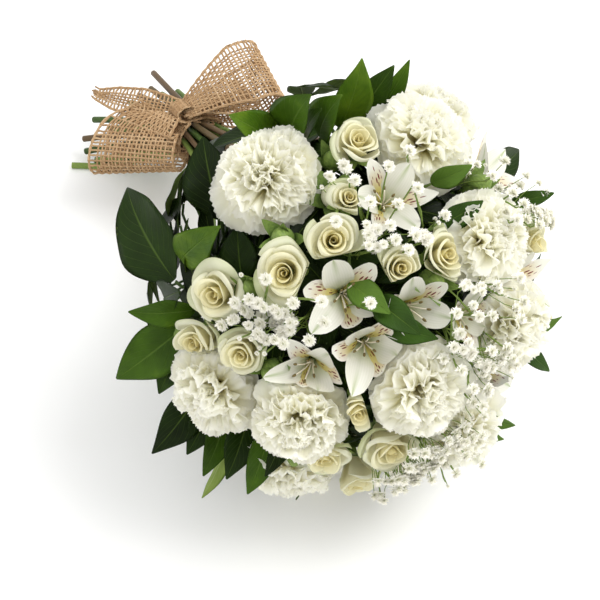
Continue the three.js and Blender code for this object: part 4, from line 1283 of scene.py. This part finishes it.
def best_rise(way, samples, deep, large):
    """How far a small leaf moves out from the middle: as far as the blooms and the large leaves
    above it leave room, or None where they leave none."""
    rises = DEEP_RISES if deep else RISES
    raised = samples[None] + way * rises[:, None, None, None]
    clear = free(raised).min((1, 2)) > 1
    close = large[np.linalg.norm(large - (HEAD + way * (FILL_DEPTH + 5)), axis=-1) < LARGE_NEAR]
    if len(close):
        apart = np.linalg.norm(raised.reshape(len(rises), -1, 1, 3) - close, axis=-1).min((1, 2))
        clear = clear & np.logical_and.accumulate(apart > FILL_APART)
    return rises[clear].max() if clear.any() else None


def fill_leaves():
    """Small leaves spread over the dome by the golden angle. Each lies nearly flat on it, and every
    third stays deeper than the others. The sprig that points most its way gets it."""
    found = [[] for _ in SPRIG_LEAVES]
    large = np.concatenate([blade_samples(leaf) for leaves in sprig_leaves for leaf in leaves])
    sprig_ways = np.array([mean_way(leaves) for leaves in SPRIG_LEAVES])
    shares = (np.arange(FILL_COUNT) + 0.5) / FILL_COUNT
    spread = [[k * 137.5, math.degrees(math.acos(1 - FILL_SPAN * t))] for k, t in enumerate(shares)]
    for k, (around, off) in enumerate(spread + FILL_PLACED):
        way = direction(around, off)
        e, f = across(way, 6.28 * scatter(97, k))
        length = between(34, 52, scatter(98, k))
        near = HEAD + way * FILL_DEPTH - e * length * 0.4
        far = HEAD + way * between(FILL_DEPTH, FILL_DEPTH + 12, scatter(99, k)) + e * length * 0.6
        share = np.linspace(0, 1, 5)[:, None, None]
        side = np.array([-8.0, 0.0, 8.0])[None, :, None]
        rise = best_rise(way, near + (far - near) * share + f * side, k % 3 == 0, large)
        if rise is None:
            continue
        base = near + way * rise
        tip = far + way * rise
        if min(height(base), height(tip)) < FILL_LOWEST:
            continue
        s = int((sprig_ways @ way).argmax())
        found[s].append(SimpleNamespace(
            stalk=simple_branch(stems[f"sprig_{s}"], base, unit(tip - base), 0.3),
            base=base, bow=(base + tip) / 2 + way * 3, tip=tip,
            out=unit(way + 0.5 * f * (scatter(100, k) - 0.5)), width=between(15, 24, scatter(101, k)),
        ))
    return found


filler = fill_leaves()
for s, leaves in enumerate(sprig_leaves):
    m = stems[f"sprig_{s}"]
    small = Surface()
    for k, leaf in enumerate(filler[s]):
        stalk(small, leaf.stalk, 0.9, 0.2, steps=7, sides=5)
        # The small leaves take only the darker tones of the leaf green, as painted shade beneath the blooms.
        blade(small, leaf, 200 + 50 * s + k, between(0.05, 0.42, scatter(102 + s, k)), rows=12)
    small.piece(f"small_leaves_{s + 1}", [FLOWER_GREEN, LEAF], "broad_leaf")
    sprig = Surface()
    main_rod(sprig, m, head_end(m, 1.2))
    for k, leaf in enumerate(leaves):
        stalk(sprig, leaf.stalk, LEAF_STALK, 0.3, profile=[(leaf.base, 1.0)])
        blade(sprig, leaf, 100 + 10 * s + k, SPRIG_TONES[s][k])
    sprig.piece(f"leafy_sprig_{s + 1}", [FLOWER_GREEN, LEAF], "broad_leaf", f"foliage_sprig_{s + 1}")

# Gypsophila

FLORET_PETALS = 28
PER_CLUSTER = 14
# Further clusters: [around, off, spray]
MORE_CLUSTERS = [
    [147, 50, 0], [143, 43, 0], [152, 44, 0], [120, 31, 0], [156, 55, 0], [138, 37, 0], [158, 48, 0],
    [95, 43, 1], [97, 57, 1], [81, 51, 1], [89, 47, 1], [93, 36, 1], [100, 51, 1], [86, 57, 1],
    [41, 53, 2], [34, 48, 2], [30, 57, 2], [37, 62, 2], [24, 60, 2], [45, 46, 2],
    [71, 13, 3], [101, 8, 3], [335, 14, 3], [20, 8, 3], [40, 19, 3], [300, 10, 3],
    [284, 24, 4], [260, 34, 4], [243, 34, 4], [267, 31, 4], [275, 40, 4], [255, 44, 4], [255, 14, 4],
    [246, 22, 4],
]
# Florets of each spray further than this from the middle of the dome are left out: they would lie
# on the blooms instead of in the gaps between them.
GAP_DEPTH = (138, 139, 144, 145, 145)
BUD_SIZE = 1.7  # radius of a bud; a fifth of the florets are buds
TWIG = 0.55  # its radius
THIN_TWIG = 0.3  # its radius


def floret_shape():
    """A double floret of radius one: small petals spread over a ball by the golden angle, each
    folded along its middle, notched at the tip and widening outwards."""
    k = np.arange(FLORET_PETALS)[:, None, None]
    turn = np.radians(137.5 * k)
    s = np.array([0.12, 1.0])[None, :, None]
    v = np.array([1.0, 0.0, -1.0])[None, None, :]
    reach = s * (0.7 + 0.36 * np.mod(0.382 * k, 1)) * (1 - 0.2 * (v == 0) * (s > 0.9))
    lean = np.arccos(1 - 1.5 * (k + 0.5) / FLORET_PETALS) * (0.75 + 0.25 * s) + 0.3 * np.sin(2.3 * k)
    side = v * 0.4 * s
    fold = 0.16 * np.abs(v) * s
    out = reach * np.sin(lean) - fold * np.cos(lean)
    x = out * np.cos(turn) - side * np.sin(turn)
    y = out * np.sin(turn) + side * np.cos(turn)
    z = reach * np.cos(lean) + fold * np.sin(lean)
    # Depth runs from the floret's middle out to the petal tips; the floret ramp draws the middle grey-green,
    # partly its pale green foot and partly painted shade.
    return np.stack([x, y, z], -1), looks(s + 0 * x, 0.5, 0.0)


FLORET_POINTS, FLORET_LOOK = floret_shape()


def clusters_of(s, m):
    """A spray's clusters: those on the solids' twigs and the further ones."""
    own = [c for c in clusters if c.spray == s]
    for around, off, spray in MORE_CLUSTERS:
        if spray == s:
            way = direction(around, off)
            centre = over_petals(way[None], 122, 141)[0]
            ends = [m.line[-1], m.line[-1] + m.branch_way * 16, centre - way * 26, centre - way * 3]
            own.append(SimpleNamespace(way=way, centre=centre, branch=np.array(ends)))
    return own


def add_florets(white, twigs, s, own):
    """The florets of a spray, on thin twigs that fork from the twig of their cluster. They spread
    about its direction by the golden angle and step outwards until they clear the blooms."""
    ways = np.array([c.way for c in own])
    k = np.arange(len(own) * PER_CLUSTER)
    pick = k // PER_CLUSTER
    first = k % PER_CLUSTER == 0
    angle = np.radians(k * 137.5 + 60 * scatter(s + 51, k))
    apart = 0.03 + 0.1 * np.sqrt((k % PER_CLUSTER) / PER_CLUSTER)
    sides = np.array([across(way, 0) for way in ways])
    spread = unit(
        ways[pick] + sides[pick, 0] * (apart * np.cos(angle))[:, None]
        + sides[pick, 1] * (apart * np.sin(angle))[:, None]
    )
    spread[first] = ways
    centres = over_petals(spread, 118, 150)
    sunk = (np.linalg.norm(centres - HEAD, axis=-1) < GAP_DEPTH[s]) | first
    centres = centres + spread * (5 * scatter(s + 61, k) - 1)[:, None]
    centres[first] = [c.centre for c in own]
    forks = np.array([bezier(c.branch, [0.7])[0] for c in own])[pick]
    span = np.linalg.norm(centres - forks, axis=-1)[:, None]
    controls = np.stack([forks, forks + ways[pick] * span * 0.3, centres - spread * span * 0.4, centres], 1)
    twigs.rods(bezier(controls, np.linspace(0, 1, 6))[sunk], THIN_TWIG, 4, looks(0.5, 0.5, 0.5))
    size = np.where(first, FLORET, 3.3 + 1.4 * scatter(s + 71, k))
    size = np.where(scatter(s + 81, k) > 0.8, BUD_SIZE, size)
    axis = unit(spread + 0.5 * (np.stack([scatter(s + 91 + j, k) for j in range(3)], -1) - 0.5))
    e = unit(np.cross(axis, at(0.3, 0.9, 0.1)))
    basis = np.stack([e, np.cross(axis, e), axis], 1) * size[:, None, None]
    shape = FLORET_POINTS[None] @ basis[:, None, None]
    white.grid((centres[:, None, None, None] + shape)[sunk], FLORET_LOOK[None])


for s in range(len(GYPSOPHILA)):
    m = stems[f"gypsophila_{s}"]
    own = clusters_of(s, m)
    twigs = Surface()
    white = Surface()
    main_rod(twigs, m, head_end(m, 0.9))
    for c in own:
        stalk(twigs, c.branch, TWIG, 0.5, sides=5, profile=[(c.centre - c.way * 3, TWIG)])
    add_florets(white, twigs, s, own)
    white.piece(f"gypsophila_florets_{s + 1}", [GYPSOPHILA_PETAL], "gypsophila_floret",
                f"gypsophila_spray_{s + 1}")
    twigs.piece(f"gypsophila_twigs_{s + 1}", [FLOWER_GREEN], "rose_green")

# Ribbon of open jute cloth

RIBBON_WIDTH = 60
WRAP_RADIUS = 20.9
WRAP_WIDTH = 20
WRAP_MIDDLE = 1.5  # along the stems
WRAP_THREADS = 14
KNOT = at(-7, WRAP_RADIUS + 5, 0)
KNOT_SIZE = (9.2, 6.6)  # half across and half up
KNOT_WIDTH = 17.0
KNOT_THREADS = 16
THREAD = 0.82  # radius of a thread
THREAD_SIDES = 5
THREAD_PITCH = 3.5  # middle to middle
THREAD_LAP = 0.42  # a thread swings this far over and under the cloth's middle
SELVEDGE = 0.6  # threads across the ribbon are longer than it is wide by this


def alternating(count):
    """A column of 1 and -1 in turn."""
    return np.where(np.arange(count) % 2, 1, -1)[:, None]


def woven(surface, line, wide, widths, seed, threads=None, frayed=False):
    """Plain weave on a strip. Threads lie at even shares of the strip's width along it, and square
    across it at every pitch; each passes over and under the ones that it meets, as a cosine. At a
    frayed end the threads along it stand out by up to two pitches."""
    steps = np.concatenate([[0], np.cumsum(np.linalg.norm(np.diff(line, axis=0), axis=-1))])
    threads = threads or int(round(np.max(widths) / THREAD_PITCH)) + 2
    picks = int(steps[-1] / THREAD_PITCH)
    fine = np.linspace(0, steps[-1], picks * 2 + 1)
    middle = np.stack([np.interp(fine, steps, line[:, i]) for i in range(3)], -1)
    for _ in range(3):
        middle[1:-1] = 0.25 * middle[:-2] + 0.5 * middle[1:-1] + 0.25 * middle[2:]
    width = np.interp(fine, steps, widths)
    ways = np.stack([np.interp(fine, steps, wide[:, i]) for i in range(3)], -1)
    along = unit(np.gradient(middle, axis=0))
    ways = unit(ways - along * (ways * along).sum(-1, keepdims=True))
    thin = np.cross(along, ways)
    y = (np.arange(threads) + 0.5) / threads - 0.5
    y[[0, 1, -2, -1]] = [-0.5, 0.4 / threads - 0.5, 0.5 - 0.4 / threads, 0.5]
    jitter = 0.2 * (scatter(seed, np.arange(threads)) - 0.5)
    swing = np.cos(np.pi * fine / THREAD_PITCH)[None, :] * alternating(threads)
    drift = 0.25 * np.sin(fine[None, :] / 17 + 6 * scatter(seed + 2, np.arange(threads))[:, None])
    place = y[:, None] * width[None, :] + (jitter[:, None] + drift) * (width[None, :] / RIBBON_WIDTH)
    lengthwise = middle[None] + ways[None] * place[..., None] + thin[None] * (THREAD_LAP * swing)[..., None]
    tone = scatter(seed + 4, np.arange(threads))[:, None]
    if frayed:
        fringe = THREAD_PITCH * (0.3 + 1.7 * scatter(seed + 6, np.arange(threads)))
        lengthwise[:, -1] += (along[-1] + ways[-1] * 0.4 * math.sin(seed)) * fringe[:, None]
    surface.rods(lengthwise, THREAD * 0.9, THREAD_SIDES, looks(0.5, tone, 0.0))
    rows = np.arange(picks) * 2 + 1
    across_steps = np.linspace(-0.5, 0.5, threads * 2 + 1)
    over = -np.cos(np.pi * (across_steps * threads + 0.5))[None] * alternating(picks)
    skew = 0.3 * np.sin(across_steps[None] * 5 + 6 * scatter(seed + 3, np.arange(picks))[:, None])
    place = across_steps[None] * (width[rows][:, None] + SELVEDGE)
    crosswise = (
        middle[rows][:, None] + ways[rows][:, None] * place[..., None]
        + thin[rows][:, None] * (THREAD_LAP * over)[..., None] + along[rows][:, None] * skew[..., None]
    )
    tone = scatter(seed + 5, np.arange(picks))[:, None]
    surface.rods(crosswise, THREAD, THREAD_SIDES, looks(0.5, tone, 0.0))


def loop(out, up, wide, length, rise, width, shift, gather):
    """A bow's loop: it goes out by a squared sine and up and down by a product of sines. At the
    knot it is gathered to a share of its width, and it widens as it goes out."""
    t = np.linspace(0, np.pi, 61)
    x = length * np.sin(t) ** 2
    y = 1.3 * rise * np.sin(2 * t) * np.sin(t) + np.where(t < np.pi / 2, 1, -1)
    spread = np.minimum(1, gather + 1.1 * x / length)
    line = KNOT + out * x[:, None] + up * y[:, None] + wide * (shift * spread)[:, None]
    return line, np.broadcast_to(wide, line.shape), width * spread


def ribbon_end(points, wide, widths):
    """A loose end: straight from point to point; weaving it rounds the corners."""
    points = np.array(points, float)
    fine = np.linspace(0, len(points) - 1, 25)
    line = np.stack([np.interp(fine, np.arange(len(points)), points[:, i]) for i in range(3)], -1)
    wide = np.broadcast_to(unit(np.array(wide, float)), line.shape)
    return line, wide, np.interp(fine, np.arange(len(points)), widths)


ribbon = Surface()
left_out = unit(at(-0.62, -0.55, 0.56))
left_wide = unit(at(-0.74, -0.03, -0.67))
left_up = -unit(np.cross(left_wide, left_out))
turn = np.radians(np.linspace(110, 460, 61))
wrap = np.stack([WRAP_RADIUS * np.cos(turn), WRAP_RADIUS * np.sin(turn), np.full(61, WRAP_MIDDLE)], -1)
# Each strip: its middle line, the way across it and its width, all along it. A loop is given by the
# ways out, up and across, its length, half height and width, how far it is shifted across, and the
# share of its width at the knot.
strips = [
    (wrap, np.broadcast_to(at(0, 0, 1), wrap.shape), np.full(61, float(WRAP_WIDTH))),
    loop(at(0.98, 0.15, 0.11), at(-0.08, 0.87, 0.48), at(-0.08, -0.43, 0.9), 74, 17, RIBBON_WIDTH, 2, 0.28),
    loop(left_out, left_up, left_wide, 51, 11, RIBBON_WIDTH * 1.2, 29, 0.6),
    ribbon_end(
        [[-7, 26, 0], [-18, 29, -12], [-32, 31, -30], [-45, 32, -52], [-54, 32, -70]], [0.75, 0.6, -0.2],
        [14, 20, 25, 19, 9],
    ),
    ribbon_end([[-7, 26, 0], [8, 29, 8], [24, 28, 17], [40, 25, 27]], [-0.25, -0.2, 0.9], [14, 18, 26, 34]),
]
for i, (line, wide, widths) in enumerate(strips):
    threads = WRAP_THREADS if i == 0 else None
    woven(ribbon, line, wide, widths, 31 + 7 * i, threads, frayed=i > 2)
turn = np.radians(np.linspace(0, 360, 41))
knot_ring = KNOT + np.stack([KNOT_SIZE[0] * np.cos(turn), KNOT_SIZE[1] * np.sin(turn), 0 * turn], -1)
knot_wide = np.broadcast_to(at(0, 0, 1), knot_ring.shape)
woven(ribbon, knot_ring, knot_wide, np.full(41, KNOT_WIDTH), 77, KNOT_THREADS)
ribbon = ribbon.piece("jute_bow", [JUTE], "jute", "jute_ribbon")

# Table, light and camera

mesh = bpy.data.meshes.new("table")
side = 30.0  # half of it: far enough for its edge to be out of every view
mesh.from_pydata([(-side, -side, 0), (side, -side, 0), (side, side, 0), (-side, side, 0)], [], [(0, 1, 2, 3)])
table = bpy.data.objects.new("table", mesh)
bpy.context.scene.collection.objects.link(table)
material, tree = new_material("table_matt_white")
shader = node(tree, "BsdfPrincipled", {"Base Color": linear("#fcfcfb"), "Roughness": 0.8})
node(tree, "OutputMaterial", [shader])
mesh.materials.append(material)

# The photograph's view, seen through a lens in millimetres from so many metres away
AZIMUTH = math.radians(60)
ELEVATION = math.radians(50)
LENS = 94.5
DISTANCE = 1.05
AIM = (-0.030, -0.0113)  # how far right of the middle of the head and above it the view is centred
toward = np.array([
    math.sin(AZIMUTH) * math.cos(ELEVATION), -math.cos(AZIMUTH) * math.cos(ELEVATION), math.sin(ELEVATION),
])
right = np.array([math.cos(AZIMUTH), math.sin(AZIMUTH), 0])
above = np.cross(toward, right)
head_middle = to_metres(HEAD[None])[0]
aim = head_middle + right * AIM[0] + above * AIM[1]


def facing(way):
    """The turn with which an object looks along a way, its own up kept as high as it can be."""
    return Vector([float(x) for x in way]).to_track_quat("-Z", "Y").to_euler()


camera = bpy.data.objects.new("camera", bpy.data.cameras.new("camera"))
camera.data.lens = LENS
eye = head_middle + toward * DISTANCE
camera.location = [float(x) for x in eye]
camera.rotation_euler = facing(unit(aim - eye))
bpy.context.scene.collection.objects.link(camera)
bpy.context.scene.camera = camera


def softbox(name, place, size, power):
    """A square lamp that looks at the middle of the head."""
    light = bpy.data.lights.new(name, "AREA")
    light.size = size
    light.energy = power
    lamp = bpy.data.objects.new(name, light)
    lamp.location = [float(x) for x in place]
    lamp.rotation_euler = facing(head_middle - place)
    bpy.context.scene.collection.objects.link(lamp)


softbox("key_softbox", head_middle + right * 0.9 + above * 0.9 + toward * 1.0, 1.0, 20)
softbox("fill_softbox", head_middle - right * 1.4 + above * 0.3 + toward * 1.2, 1.6, 5)
world = bpy.data.worlds.new("studio")
world.use_nodes = True
world.node_tree.nodes["Background"].inputs["Color"].default_value = (1, 1, 1, 1)
world.node_tree.nodes["Background"].inputs["Strength"].default_value = 0.97
bpy.context.scene.world = world
bpy.context.scene.view_settings.view_transform = "Standard"
